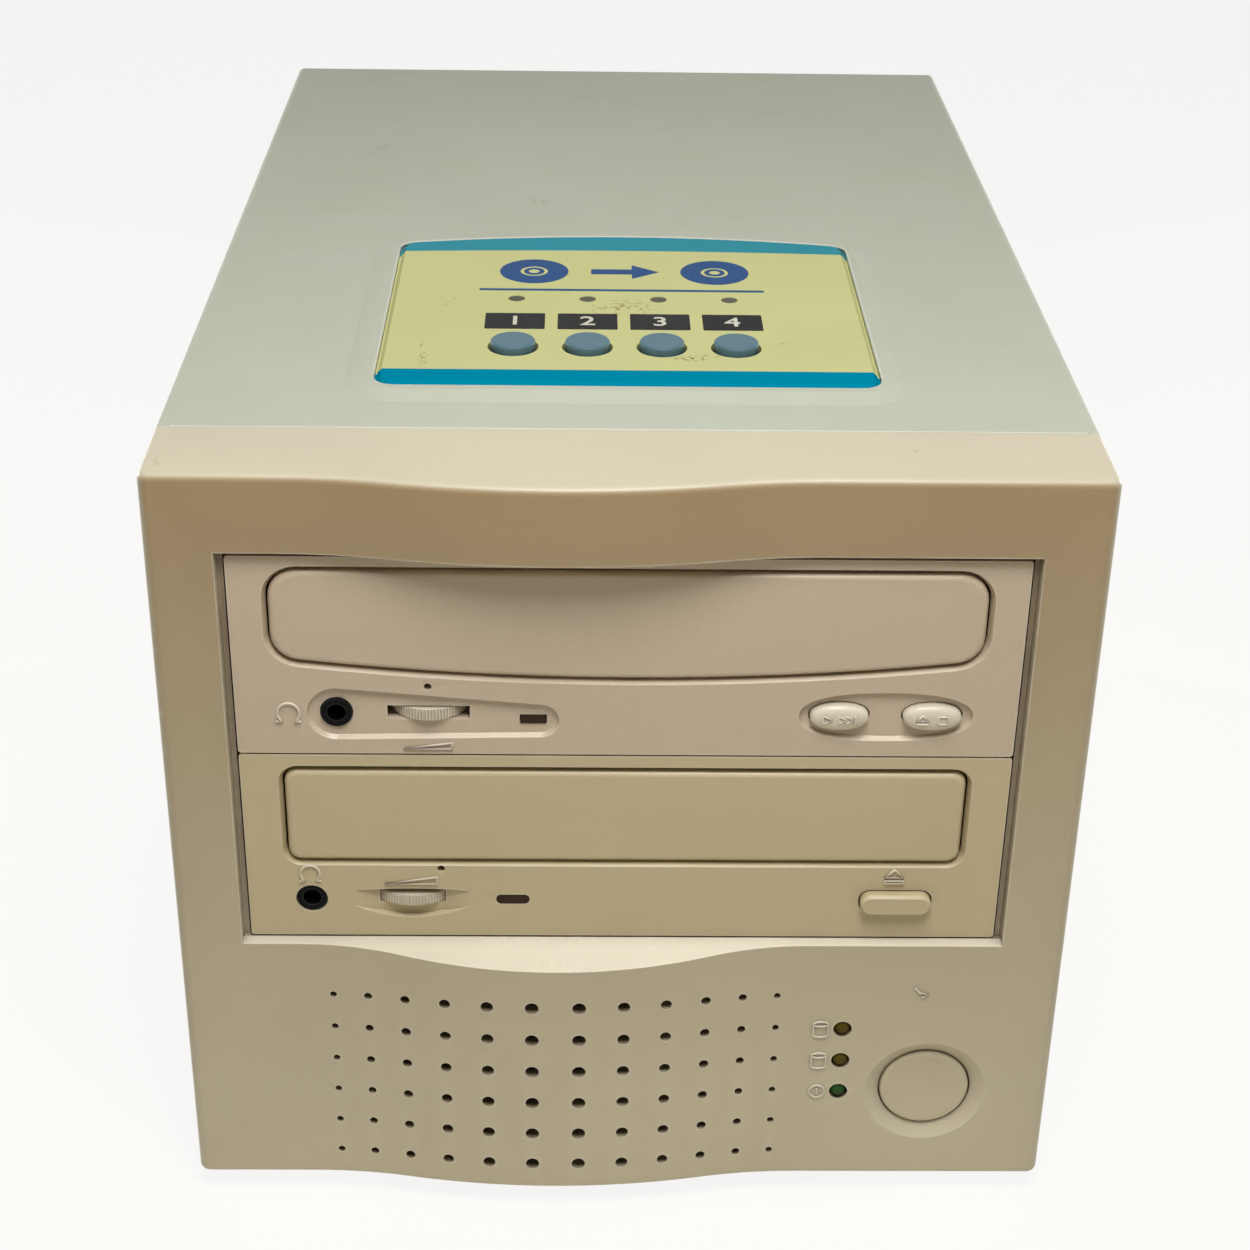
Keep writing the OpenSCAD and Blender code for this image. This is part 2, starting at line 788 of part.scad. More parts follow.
module front_board() {
  color(board_green)
    block(board_x0, board_x1, y_board, y_board + board_t, board_z0, board_z1);
}

// Round lamp that reaches from the board to just outside the bezel
module front_lamp(k) {
  z = z_lamp + k * lamp_pitch;
  y_dome = y_flat + lamp_d / 2 - lamp_out;
  bar_y(lamp_x, z, y_dome, y_board, lamp_d);
  translate([lamp_x, y_dome, z]) sphere(d = lamp_d);
}

module disc_lamps() {
  color([0.55, 0.50, 0.18])
    for (k = [1, 2])
      front_lamp(k);
}

module power_lamp() {
  color([0.20, 0.48, 0.26]) front_lamp(0);
}

// Keypad

function key_x(k) = (k - 2.5) * key_pitch + key_shift;

module control_panel() {
  soft = 0.9;
  color([0.86, 0.84, 0.58]) difference() {
    union() {
      hull() {
        pad(-soft, z_panel - fuse, fuse, panel_r - soft);
        pad(0, z_under - fuse, z_panel - z_under + fuse - soft, panel_r);
      }
      pad(panel_rim, z_plate_low, panel_flange, panel_r + panel_rim);
      for (x = [-1, 1])
        for (y = [panel_rim + post_d, panel_d - panel_rim - post_d])
          translate([x * (panel_w / 2 - post_d), y_panel + y, z_cboard])
            cylinder(d = post_d, h = post_h + fuse);
    }
    for (k = [1 : 4]) {
      translate([key_x(k), y_panel + key_set, z_plate_low - past])
        cylinder(d = key_d + 2 * key_gap, h = z_panel - z_plate_low + 2 * past);
      translate([key_x(k), y_panel + dot_set, z_plate_low - past])
        cylinder(d = dot_d + press_gap, h = z_panel - z_plate_low + 2 * past);
    }
  }
}

// Keypad button: a cap with a soft edge, and a skirt that keeps it under the plate
module copy_button(k) {
  soft = 0.6;
  r = key_d / 2;
  z_skirt = z_plate_low - press_gap - key_skirt_t;
  color([0.48, 0.56, 0.62]) translate([key_x(k), y_panel + key_set, 0]) {
    rotate_extrude() {
      translate([0, z_skirt]) square([r, z_panel + key_out - soft - z_skirt]);
      translate([0, z_skirt]) square([r - soft, z_panel + key_out - z_skirt]);
      translate([r - soft, z_panel + key_out - soft]) circle(soft);
      translate([0, z_skirt]) square([r + press_gap + key_skirt, key_skirt_t]);
    }
  }
}

module copy_button_1() { copy_button(1); }
module copy_button_2() { copy_button(2); }
module copy_button_3() { copy_button(3); }
module copy_button_4() { copy_button(4); }

module panel_lamps() {
  color([0.45, 0.46, 0.38])
    for (k = [1 : 4])
      translate([key_x(k), y_panel + dot_set, z_cboard])
        cylinder(d = dot_d, h = z_panel - z_cboard - 0.1);
}

module control_board() {
  color(board_green)
    block(cboard_in - panel_w / 2, panel_w / 2 - cboard_in, y_panel + cboard_in,
      y_panel + panel_d - cboard_in, z_cboard - board_t, z_cboard);
}

// Key switches, the copy processor, its memory and the cable header
module board_parts() {
  sw = 6;
  rise = z_plate_low - press_gap - key_skirt_t - key_travel - 0.2 - z_cboard;
  y0 = y_panel + panel_d;
  y_chip = y_panel + dot_set + dot_d;
  chip_d = 13;
  color(black) {
    for (k = [1 : 4])
      translate([key_x(k), y_panel + key_set, z_cboard]) {
        translate([-sw / 2, -sw / 2, 0]) cube([sw, sw, rise - 0.6]);
        cylinder(d = 3.4, h = rise);
      }
    block(-14, 14, y_chip, y_chip + chip_d, z_cboard, z_cboard + 2.2);
    block(24, 38, y_chip, y_chip + chip_d, z_cboard, z_cboard + 1.6);
    block(ribbon_x + 3, ribbon_x + ribbon_w - 3, y0 - cboard_in - 8, y0 - cboard_in,
      z_cboard, z_cboard + post_h - 1);
  }
}

// Cables inside the case

// Flat cable from the control board, over the upper drive and down behind both
module ribbon_cable() {
  z0 = z_cboard + (post_h - 1) / 2;
  y0 = y_panel + panel_d - cboard_in;
  bend = 6;
  low = z_write + socket_z - plug_h / 2;
  color([0.62, 0.62, 0.60]) union() {
    translate([ribbon_x, 0, 0]) {
      block(0, ribbon_w, y0, cable_y - bend + fuse / 4, z0, z0 + ribbon_t);
      block(0, ribbon_w, cable_y, cable_y + ribbon_t, low, z0 - bend + fuse / 4);
      translate([0, cable_y - bend, z0 - bend]) rotate([90, 0, 90])
        linear_extrude(ribbon_w) intersection() {
          difference() {
            circle(bend + ribbon_t);
            circle(bend);
          }
          square(bend + ribbon_t);
        }
      for (z = [z_read, z_write])
        block(0, ribbon_w, y_end, cable_y + fuse, z + socket_z - plug_h / 2,
          z + socket_z + plug_h / 2);
    }
  }
}

// Supply lead that rises behind the drives, with a plug in each
module power_lead() {
  plug_w = 21;
  color([0.75, 0.62, 0.16]) union() {
    block(lead_x - lead_w / 2, lead_x + lead_w / 2, cable_y, cable_y + lead_t,
      z_floor + supply_h, z_read + socket_z + plug_h / 2);
    for (z = [z_read, z_write])
      block(lead_x - plug_w / 2, lead_x + plug_w / 2, y_end, cable_y + fuse,
        z + socket_z - plug_h / 2, z + socket_z + plug_h / 2);
  }
}

// Drives

// Door outline: straight top and sides, round corners and a bottom edge that bows
// down in the middle, all drawn in by inset
function door_points(w, top, low, r, bow_r, inset) =
  let (
    lean = asin((w / 2 - r) / (bow_r - r)),
    cx = w / 2 - r,
    low_z = low + bow_r - (bow_r - r) * cos(lean),
    ri = r - inset
  )
  concat(
    arc_points(cx, top - r, ri, 90, 0, 6),
    arc_points(cx, low_z, ri, 0, lean - 90, 6),
    [for (i = [1 : 15])
      let (a = lean - 90 - 2 * lean * i / 16)
      [(bow_r - inset) * cos(a), low + bow_r + (bow_r - inset) * sin(a)]],
    arc_points(-cx, low_z, ri, -90 - lean, -180, 6),
    arc_points(-cx, top - r, ri, 180, 90, 6)
  );

// The two door openings, measured from the foot of the drive
read_door = [134.2, face_h - 2.7, 16.1, 6, 551];
write_door = [132.2, face_h - 3.2, 17.3, 3, 60000];

module door_outline(d, inset) {
  polygon(door_points(d[0], d[1], d[2], d[3], d[4], inset));
}

module drive_door(z, d) {
  soft = 1.2;
  color(pink_grey) translate([0, 0, z]) {
    upright(y_face + soft, door_t - soft) door_outline(d, door_gap);
    hull()
      for (a = [0 : 30 : 90])
        upright(y_face + soft * (1 - sin(a)), fuse) door_outline(d, door_gap + soft * (1 - cos(a)));
  }
}

// Hollow face moulding with its tray opening; children are cut from its front
module drive_face(z, d, wheel_x, wheel_y, wheel_d, window_w) {
  rim = 1.5;
  bevel = 0.7;
  shelf_t = 1.6;
  shelf_top = control_z - wheel_t / 2 - run_gap;
  slot_h = wheel_t + 2 * run_gap;
  translate([0, 0, z]) {
    difference() {
      upright(y_face, face_d) translate([0, face_h / 2]) round_rect(face_w, face_h, 0.6);
      upright(y_face + face_t, face_d) translate([0, face_h / 2])
        square([face_w - 2 * rim, face_h - 2 * rim], center = true);
      upright(y_face - past, face_d) door_outline(d, 0);
      hull() {
        upright(y_face - fuse, fuse) door_outline(d, -bevel);
        upright(y_face + bevel, fuse) door_outline(d, 0);
      }
      translate([wheel_x, wheel_y, shelf_top]) cylinder(d = wheel_d + 2 * window_gap, h = slot_h);
      block(wheel_x - window_w / 2, wheel_x + window_w / 2, y_face - past, y_face + face_t + past,
        shelf_top, shelf_top + slot_h);
      children();
    }
    block(wheel_x - 8, wheel_x + 8, y_face + face_t - fuse, wheel_y + 5,
      shelf_top - shelf_t, shelf_top);
    translate([wheel_x, wheel_y, shelf_top - fuse]) cylinder(d = pin_d, h = slot_h + fuse);
  }
}

// Place of a wheel's centre, so that its rim stands out of the recess floor
function wheel_back(wheel_d, out) = y_face + recess + wheel_d / 2 - out;

// Outlines of the upper face's two recesses, drawn out by grow
module jack_recess(grow) {
  tear(read_jack_x, control_z, 5 + grow, -16.4, control_z - 1.3, 3 + grow);
}

module button_recess(grow) {
  translate([49.1, control_z]) polygon(oval_points(32 + 2 * grow, 9.4 + 2 * grow, 64, 0.85));
}

module reader_face() {
  y0 = y_face - past;
  wy = wheel_back(read_wheel_d, read_wheel_out);
  lean = 0.6;
  color(pink_grey) drive_face(z_read, read_door, read_wheel_x, wy, read_wheel_d, read_window_w) {
    hull() {
      upright(y_face - fuse, fuse) jack_recess(lean);
      upright(y_face + recess - fuse / 4, fuse / 4) jack_recess(0);
    }
    hull() {
      upright(y_face - fuse, fuse) button_recess(lean);
      upright(y_face + recess - fuse / 4, fuse / 4) button_recess(0);
    }
    bar_y(read_jack_x, control_z, y0, y_face + face_t + past, jack_d + press_gap);
    upright(y0, face_t + 2 * past) translate([read_lamp_x, control_z - 1.4])
      square([5.2, 2], center = true);
    bar_y(read_wheel_x, control_z + 6, y0, y_face + face_t + past, emergency_d);
    for (x = [read_play_x, read_eject_x])
      upright(y0, face_t + 2 * past) translate([x, control_z])
        polygon(oval_points(oval_w + 2 * press_gap, oval_h + 2 * press_gap, 48, 0.92));
  }
}

// Dish round the lower drive's wheel: two flanks slope in to the window
module wheel_dish(x, z) {
  half = 11.5;
  deep = 1.3;
  n = 12;
  flank = write_window_w / 2;
  high = [for (i = [0 : n]) let (t = 2 * i / n - 1) [x + half * t, z + 1.9 + 0.6 * (1 - t * t)]];
  low = [for (i = [n : -1 : 0]) let (t = 2 * i / n - 1) [x + half * t, z - 1.6 - 2.7 * (1 - t * t)]];
  intersection() {
    upright(y_face - past, deep + past) polygon(concat(high, low));
    translate([x, y_face, 0]) linear_extrude(face_h)
      polygon([[-half, -past], [half, -past], [half, 0], [flank, deep], [-flank, deep], [-half, 0]]);
  }
}

module writer_face() {
  y0 = y_face - past;
  wy = wheel_back(write_wheel_d, write_wheel_out);
  color(ivory) drive_face(z_write, write_door, write_wheel_x, wy, write_wheel_d, write_window_w) {
    wheel_dish(write_wheel_x, control_z);
    bar_y(write_jack_x, control_z, y0, y_face + face_t + past, jack_d + press_gap);
    upright(y0, face_t + 2 * past) translate([write_lamp_x, control_z])
      round_rect(6.6, 2.2, 1);
    bar_y(write_wheel_x + 5.8, control_z + 7.2, y0, y_face + face_t + past, emergency_d);
    upright(y0, face_t + 2 * past) translate([write_eject_x, control_z])
      round_rect(pill_w + 2 * press_gap, pill_h + 2 * press_gap, pill_h / 2);
  }
}

// Steel tub of a drive, open at its front and top
module drive_case(z) {
  x1 = drive_w / 2;
  color(zinc) translate([0, 0, z]) difference() {
    block(-x1, x1, y_case, y_end, case_z0, case_z1 - case_t);
    block(case_t - x1, x1 - case_t, y_case - past, y_end - case_t, case_z0 + case_t, face_h);
    block(-60, 60, y_end - case_t - past, y_end + past, deck_z - 3, socket_z + 6);
    for (side = [0, 1])
      mirror([side, 0, 0])
        for (p = drive_spots())
          translate([x1 - case_t - past, p[0], 10.2]) rotate([0, 90, 0])
            cylinder(d = screw_d + 2 * screw_gap, h = case_t + 2 * past);
  }
}

// Lid with a pressed ring over the disc clamp
module drive_lid(z) {
  x1 = drive_w / 2;
  color(zinc) translate([0, 0, z]) difference() {
    block(-x1, x1, y_case, y_end, case_z1 - case_t, case_z1);
    translate([0, y_disc, case_z1 - case_t / 2]) difference() {
      cylinder(d = 44, h = case_t);
      translate([0, 0, -case_t]) cylinder(d = 34, h = 3 * case_t);
    }
  }
}

// Loader frame: two runners for the tray, a deck, and seats for gear, spindle and rods
module drive_loader(z) {
  beam0 = tray_z - 2;
  beam1 = tray_z + tray_t;
  groove0 = tray_z + runner_z - run_gap;
  groove1 = tray_z + runner_z + runner_h + run_gap;
  z_case = case_z0 + case_t;
  boss_z = 11;
  color([0.20, 0.20, 0.21]) translate([0, 0, z]) difference() {
    union() {
      for (side = [0, 1])
        mirror([side, 0, 0]) {
          difference() {
            block(rail_x0, rail_x1, y_case + 2, deck_y1, beam0, beam1);
            block(rail_x0 - past, rail_x0 + runner_w + run_gap, y_case, deck_y1 + past,
              groove0, groove1);
          }
          block(rail_x1 - 4, rail_x1, y_face + 26, deck_y1, z_case, beam0 + fuse);
        }
      block(-rail_x1 + fuse, rail_x1 - fuse, y_face + 26, deck_y1, deck_z, deck_z + deck_t);
      block(gear_x - 9, gear_x + 9, deck_y0, y_face + 26 + fuse, deck_z, deck_z + deck_t);
      translate([gear_x, gear_y, deck_z]) cylinder(d = 6, h = gear_z - run_gap - deck_z);
      translate([gear_x, gear_y, deck_z])
        cylinder(d = pin_d, h = gear_z + gear_t - deck_z);
      translate([0, y_disc, deck_z]) cylinder(d = 22, h = boss_z - deck_z);
      translate([0, y_disc, deck_z]) cylinder(d = pin_d, h = boss_z + 5 - deck_z);
      for (x = [-rod_x, rod_x])
        for (y = [rod_start, rod_end - 4])
          block(x - 4, x + 4, y_disc + y, y_disc + y + 4, deck_z, rod_z + 3);
    }
    block(-30, 30, y_disc + rod_start + 6, y_disc + rod_end - 6, deck_z - past, deck_z + deck_t + past);
    for (x = [-rod_x, rod_x])
      bar_y(x, rod_z, y_disc + rod_start - past, y_disc + rod_end + past, pin_d + 2 * pin_gap);
  }
}

module guide_rods() {
  color([0.82, 0.83, 0.85])
    for (z = [z_read, z_write])
      for (x = [-rod_x, rod_x])
        bar_y(x, z + rod_z, y_disc + rod_start, y_disc + rod_end, pin_d);
}

// Circuit board under the deck, with rear sockets and switches behind the buttons
module drive_board(z, buttons) {
  pcb_z = 2.3;
  top = pcb_z + board_t;
  x1 = rail_x1 - 4 - run_gap;
  y1 = y_end - case_t - run_gap;
  color(board_green) translate([0, 0, z]) union() {
    block(-x1, x1, y_face + key_board_y + 5, y1, pcb_z, top);
    for (x = buttons) {
      block(x - 5, x + 5, y_face + key_board_y + 1, y_face + key_board_y + 5 + fuse, pcb_z, top);
      block(x - 3, x + 3, y_face + key_board_y, y_face + key_board_y + 4, pcb_z, control_z + 3);
    }
    for (s = [[ribbon_x, ribbon_x + ribbon_w], [lead_x - 11, lead_x + 11]])
      block(s[0], s[1], y_end - 10, y_end, top - fuse, socket_z + plug_h / 2);
  }
}

// Involute flank of the loading gear and the tooth made of two of them
function involute(rb, a) = rb * [cos(a) + a * PI / 180 * sin(a), sin(a) - a * PI / 180 * cos(a)];
function turned(p, a) = [p[0] * cos(a) - p[1] * sin(a), p[0] * sin(a) + p[1] * cos(a)];

function tooth_points(k) =
  let (
    rb = gear_r * cos(pressure),
    r_tip = gear_r + gear_m,
    a_tip = sqrt(pow(r_tip / rb, 2) - 1) * 180 / PI,
    flank = tan(pressure) * 180 / PI - pressure,
    half = 90 / gear_teeth - backlash / gear_r * 90 / PI,
    at = 360 * k / gear_teeth,
    root = gear_r - 1.25 * gear_m,
    steps = 4
  )
  concat(
    [turned([root, 0], at - half - flank)],
    [for (i = [0 : steps]) turned(involute(rb, a_tip * i / steps), at - half - flank)],
    [for (i = [steps : -1 : 0])
      let (p = involute(rb, a_tip * i / steps))
      turned([p[0], -p[1]], at + half + flank)],
    [turned([root, 0], at + half + flank)]
  );

// The gear's tooth at 180 degrees stands in a rack gap when the tray is shut
module loading_gear(z) {
  color([0.88, 0.88, 0.84]) translate([gear_x, gear_y, z + gear_z]) difference() {
    linear_extrude(gear_t)
      polygon([for (k = [0 : gear_teeth - 1]) each tooth_points(k)]);
    translate([0, 0, -past]) cylinder(d = pin_d + 2 * pin_gap, h = gear_t + 2 * past);
  }
}

// Rack under the tray, one tooth at a time, with a gap facing the gear's tooth
module rack(z0, z1, y0, y1) {
  pitch = PI * gear_m;
  tip = pitch / 4 - backlash / 2 - gear_m * tan(pressure);
  foot = pitch / 4 - backlash / 2 + 1.25 * gear_m * tan(pressure);
  first = ceil((y0 + foot - gear_y) / pitch - 0.5);
  last = floor((y1 - foot - gear_y) / pitch - 0.5);
  root_x = rack_x - 1.25 * gear_m;
  translate([0, 0, z0]) linear_extrude(z1 - z0) {
    translate([root_x - rack_back, y0]) square([rack_back, y1 - y0]);
    for (k = [first : last])
      translate([0, gear_y + (k + 0.5) * pitch])
        polygon([
          [root_x - fuse, -foot], [root_x, -foot], [rack_x + gear_m, -tip],
          [rack_x + gear_m, tip], [root_x, foot], [root_x - fuse, foot]
        ]);
  }
}

// Disc tray: two stepped wells, a slot for spindle and pickup, runners and a rack
module drive_tray(z) {
  x1 = tray_w / 2;
  y1 = y_tray + tray_l;
  well_z = tray_z + 3.2;
  small_z = tray_z + 2;
  slot_r = 19;
  color([0.16, 0.16, 0.17]) translate([0, 0, z]) difference() {
    union() {
      block(-x1, x1, y_tray, y1, tray_z, tray_z + tray_t);
      for (side = [0, 1])
        mirror([side, 0, 0])
          block(x1 - fuse, x1 + runner_w, y_tray + 8, y1, tray_z + runner_z,
            tray_z + runner_z + runner_h);
      rack(tray_z - rack_h, tray_z + fuse, y_tray + 4, y1);
    }
    translate([0, y_disc, well_z]) cylinder(d = well_d, h = tray_t);
    translate([0, y_disc, small_z]) cylinder(d = 82, h = tray_t);
    translate([0, y_disc, tray_z - past]) cylinder(r = slot_r, h = tray_t + 2 * past);
    block(-slot_r, slot_r, y_disc, y_disc + 66, tray_z - past, tray_z + tray_t + past);
    block(-slot_r, slot_r, y_disc + well_d / 2 - 4, y1 - 10, well_z, tray_z + tray_t + past);
  }
}

// Serrated volume wheel with an upright axis
module drive_wheel(z, x, y, wheel_d) {
  teeth = round(wheel_d * 5);
  depth = 0.35;
  color(pale_button) translate([x, y, z + control_z - wheel_t / 2]) difference() {
    linear_extrude(wheel_t)
      polygon([for (i = [0 : 4 * teeth - 1])
        let (r = wheel_d / 2 - (i % 4 < 2 ? 0 : depth), a = 90 * i / teeth)
        r * [cos(a), sin(a)]]);
    translate([0, 0, -past]) cylinder(d = pin_d + 2 * pin_gap, h = wheel_t + 2 * past);
  }
}

// Turntable with a nose for the disc's hole
module drive_spindle(z) {
  color(zinc) translate([0, y_disc, z + 11 + run_gap]) difference() {
    union() {
      cylinder(d = 30, h = 2.6);
      cylinder(d = 14.8, h = 5);
      translate([0, 0, 5]) cylinder(d1 = 14.8, d2 = 11, h = 1.4);
    }
    translate([0, 0, -past]) cylinder(d = pin_d + 2 * pin_gap, h = 6);
  }
}

// Pickup sled on its two rods, with its lens on top
module drive_sled(z) {
  y0 = y_disc + sled_set;
  color([0.30, 0.30, 0.32]) translate([0, 0, z]) difference() {
    union() {
      block(-rod_x - 4, rod_x + 4, y0, y0 + sled_l, rod_z - 2.6, rod_z + 3);
      translate([0, y0 + sled_l / 2, rod_z]) cylinder(d = 12, h = 4.4);
      translate([0, y0 + sled_l / 2, rod_z]) cylinder(d = 5, h = 5.6);
    }
    for (x = [-rod_x, rod_x])
      bar_y(x, rod_z, y0 - past, y0 + sled_l + past, pin_d + 2 * pin_gap);
  }
}

module headphone_jacks() {
  y_shoulder = y_face + face_t;
  low = control_z - 4.4;
  high = control_z + 4.6;
  color(black)
    for (p = [[read_jack_x, z_read], [write_jack_x, z_write]])
      translate([p[0], 0, p[1]]) difference() {
        union() {
          bar_y(0, control_z, y_face + recess / 2, y_shoulder + fuse, jack_d);
          block(-jack_body / 2, jack_body / 2, y_shoulder, y_face + recess / 2 + jack_l + past,
            low, high);
        }
        bar_y(0, control_z, y_face - past, y_face + recess / 2 + jack_l, jack_bore);
      }
}

// Drive button: a cap through the face, a flange behind it and a stem to its switch
module drive_button(x, z) {
  y_flange = y_face + face_t + press_gap;
  color(pale_button) translate([x, 0, z + control_z]) {
    children();
    upright(y_flange, flange_t) round_rect(oval_w + 3, oval_h + 2, 1);
    bar_y(0, 0, y_flange, y_face + stem_l, 3.4);
  }
}

// Domed oval cap: a stack of slices that narrow towards its crown
module oval_cap() {
  out = 1.3;
  hull() {
    upright(y_face, face_t + press_gap + fuse) polygon(oval_points(oval_w, oval_h, 48, 0.92));
    for (a = [20 : 20 : 80])
      let (part = pow(cos(a), 0.6))
        upright(y_face - out * sin(a), fuse) polygon(oval_points(oval_w * part, oval_h * part, 48, 0.92));
  }
}

module reader_play_button() {
  drive_button(read_play_x, z_read) oval_cap();
}

module reader_eject_button() {
  drive_button(read_eject_x, z_read) oval_cap();
}

module writer_eject_button() {
  out = 2;
  soft = 0.5;
  depth = out + face_t + press_gap + fuse;
  r = pill_h / 2 - 0.1;
  drive_button(write_eject_x, z_write) hull() {
    upright(y_face - out, fuse) round_rect(pill_w - 2 * soft, pill_h - 2 * soft, r - soft, $fn = 32);
    upright(y_face - out + soft, depth - soft) round_rect(pill_w, pill_h, r, $fn = 32);
  }
}

module reader_lamp() {
  color([0.16, 0.11, 0.08]) {
    upright(y_face + recess - 0.2, face_t) translate([read_lamp_x, z_read + control_z - 1.4])
      square([4.9, 1.7], center = true);
    upright(y_face + face_t, 4) translate([read_lamp_x, z_read + control_z - 1.4])
      square([6.4, 3.4], center = true);
  }
}

module writer_lamp() {
  color([0.16, 0.12, 0.08]) {
    upright(y_face, face_t + fuse) translate([write_lamp_x, z_write + control_z])
      round_rect(6.3, 1.9, 0.9);
    upright(y_face + face_t, 4) translate([write_lamp_x, z_write + control_z])
      round_rect(8, 3.6, 1);
  }
}

module reader_case() { drive_case(z_read); }
module reader_lid() { drive_lid(z_read); }
module reader_loader() { drive_loader(z_read); }
module reader_board() { drive_board(z_read, [read_play_x, read_eject_x]); }
module reader_tray() { drive_tray(z_read); }
module reader_door() { drive_door(z_read, read_door); }
module reader_gear() { loading_gear(z_read); }
module reader_wheel() {
  drive_wheel(z_read, read_wheel_x, wheel_back(read_wheel_d, read_wheel_out), read_wheel_d);
}

module reader_spindle() { drive_spindle(z_read); }
module reader_sled() { drive_sled(z_read); }

module writer_case() { drive_case(z_write); }
module writer_lid() { drive_lid(z_write); }
module writer_loader() { drive_loader(z_write); }
module writer_board() { drive_board(z_write, [write_eject_x]); }
module writer_tray() { drive_tray(z_write); }
module writer_door() { drive_door(z_write, write_door); }
module writer_gear() { loading_gear(z_write); }
module writer_wheel() {
  drive_wheel(z_write, write_wheel_x, wheel_back(write_wheel_d, write_wheel_out), write_wheel_d);
}

module writer_spindle() { drive_spindle(z_write); }
module writer_sled() { drive_sled(z_write); }

// Power supply and fan

// Steel box with air slots in its front end and a cut-out for the inlet
module supply_case() {
  x1 = supply_w / 2;
  y0 = y_rear_in - supply_l;
  z1 = z_floor + supply_h;
  color(zinc) difference() {
    block(-x1, x1, y0, y_rear_in, z_floor, z1);
    block(sheet - x1, x1 - sheet, y0 + sheet, y_rear_in - sheet, z_floor + sheet, z1 - sheet);
    for (k = [-5 : 5])
      block(k * 8 - 2, k * 8 + 2, y0 - past, y0 + sheet + past, z_floor + 8, z1 - 8);
    upright(y_rear_in - sheet - past, sheet + 2 * past) translate([inlet_x, inlet_z])
      square([inlet_w + 2 * inlet_wall + 2 * screw_gap, inlet_h + 2 * inlet_wall + 2 * screw_gap],
        center = true);
  }
}

// Inlet shroud outline: a rectangle with two bevelled lower corners
module inlet_outline(w, h, bevel) {
  polygon([
    [-w / 2, h / 2], [w / 2, h / 2], [w / 2, bevel - h / 2], [w / 2 - bevel, -h / 2],
    [bevel - w / 2, -h / 2], [bevel - w / 2, -h / 2], [-w / 2, bevel - h / 2]
  ]);
}

module mains_inlet() {
  y0 = y_rear + inlet_flange - inlet_l;
  color(black) translate([inlet_x, 0, inlet_z]) difference() {
    union() {
      upright(y0 - inlet_wall, inlet_l - inlet_flange + inlet_wall + fuse)
        square([inlet_w + 2 * inlet_wall, inlet_h + 2 * inlet_wall], center = true);
      upright(y_rear, inlet_flange) round_rect(inlet_w + 8, inlet_h + 8, 2);
    }
    upright(y0, inlet_l + past) inlet_outline(inlet_w, inlet_h, 4.5);
    for (p = pin_spots())
      upright(y0 - inlet_wall - past, inlet_wall + 2 * past) translate(p)
        square([2 + screw_gap, 4 + screw_gap], center = true);
  }
}

// Two side blades and a lower earth blade
function pin_spots() = [[-blade_pitch / 2, 1.6], [blade_pitch / 2, 1.6], [0, -2.8]];

module inlet_pins() {
  y0 = y_rear + inlet_flange - inlet_l - inlet_wall - 5;
  color(brass)
    for (p = pin_spots())
      upright(y0, inlet_l + inlet_wall + 5 - 3) translate([inlet_x + p[0], inlet_z + p[1]])
        square([2, 4], center = true);
}

function fan_spots() =
  [for (x = [-1, 1]) for (z = [-1, 1]) [x * fan_holes / 2, fan_z + z * fan_holes / 2]];

// Two square plates joined by a round duct, with a motor cup on four struts at the rear
module fan_frame() {
  y1 = y_rear_in;
  y0 = y1 - fan_d;
  plate = 4;
  strut = 4;
  duct = min(fan_bore + 3, fan_w - 0.4);
  color(black) {
    difference() {
      union() {
        for (y = [y0, y1 - plate])
          upright(y, plate) translate([0, fan_z]) round_rect(fan_w, fan_w, 4);
        bar_y(0, fan_z, y0 + past, y1 - past, duct);
      }
      bar_y(0, fan_z, y0 - past, y1 + past, fan_bore);
      for (p = fan_spots())
        bar_y(p[0], p[1], y0 - past, y1 + past, screw_d + 2 * screw_gap);
    }
    for (a = [0 : 90 : 270])
      translate([0, 0, fan_z]) rotate([0, a, 0])
        block(hub_d / 2 - 2, fan_bore / 2 + 1, y1 - 3.5, y1 - 0.5, -strut / 2, strut / 2);
    bar_y(0, fan_z, y1 - 4, y1, hub_d);
    bar_y(0, fan_z, y0 + 3, y1 - 3, pin_d);
  }
}

// Hub cup with pitched flat blades, trimmed round
module fan_rotor() {
  y0 = y_rear_in - fan_d + 1;
  y1 = y_rear_in - 4 - blade_gap;
  r1 = fan_bore / 2 - blade_gap;
  lean = 40;
  color([0.10, 0.10, 0.11]) translate([0, 0, fan_z]) difference() {
    union() {
      bar_y(0, 0, y0, y1, hub_d);
      intersection() {
        bar_y(0, 0, y0 + past, y1 - past, 2 * r1);
        for (k = [0 : blade_count - 1])
          rotate([0, 360 * k / blade_count, 0]) translate([hub_d / 2 - 2, (y0 + y1) / 2, 0])
            rotate([lean, 0, 0]) block(0, r1, -fan_d, fan_d, -0.8, 0.8);
      }
    }
    bar_y(0, 0, y0 - past, y1 + past, pin_d + 2 * pin_gap);
  }
}

// Wire rings on four spokes that end in eyes under the screws
module fan_guard() {
  reach = fan_holes / sqrt(2);
  eye = screw_d / 2 + screw_gap + wire_d / 2;
  color([0.80, 0.81, 0.83]) translate([0, y_rear + wire_d / 2, fan_z]) rotate([-90, 0, 0]) {
    for (r = [ring_r : ring_pitch : fan_bore / 2])
      translate([0, 0, wire_d * 0.8]) rotate_extrude() translate([r, 0]) circle(d = wire_d);
    for (a = [45 : 90 : 315])
      rotate(a) {
        translate([ring_r, 0, 0]) rotate([0, 90, 0])
          cylinder(d = wire_d, h = reach - eye - ring_r);
        translate([reach, 0, 0]) rotate_extrude() translate([eye, 0]) circle(d = wire_d);
      }
  }
}

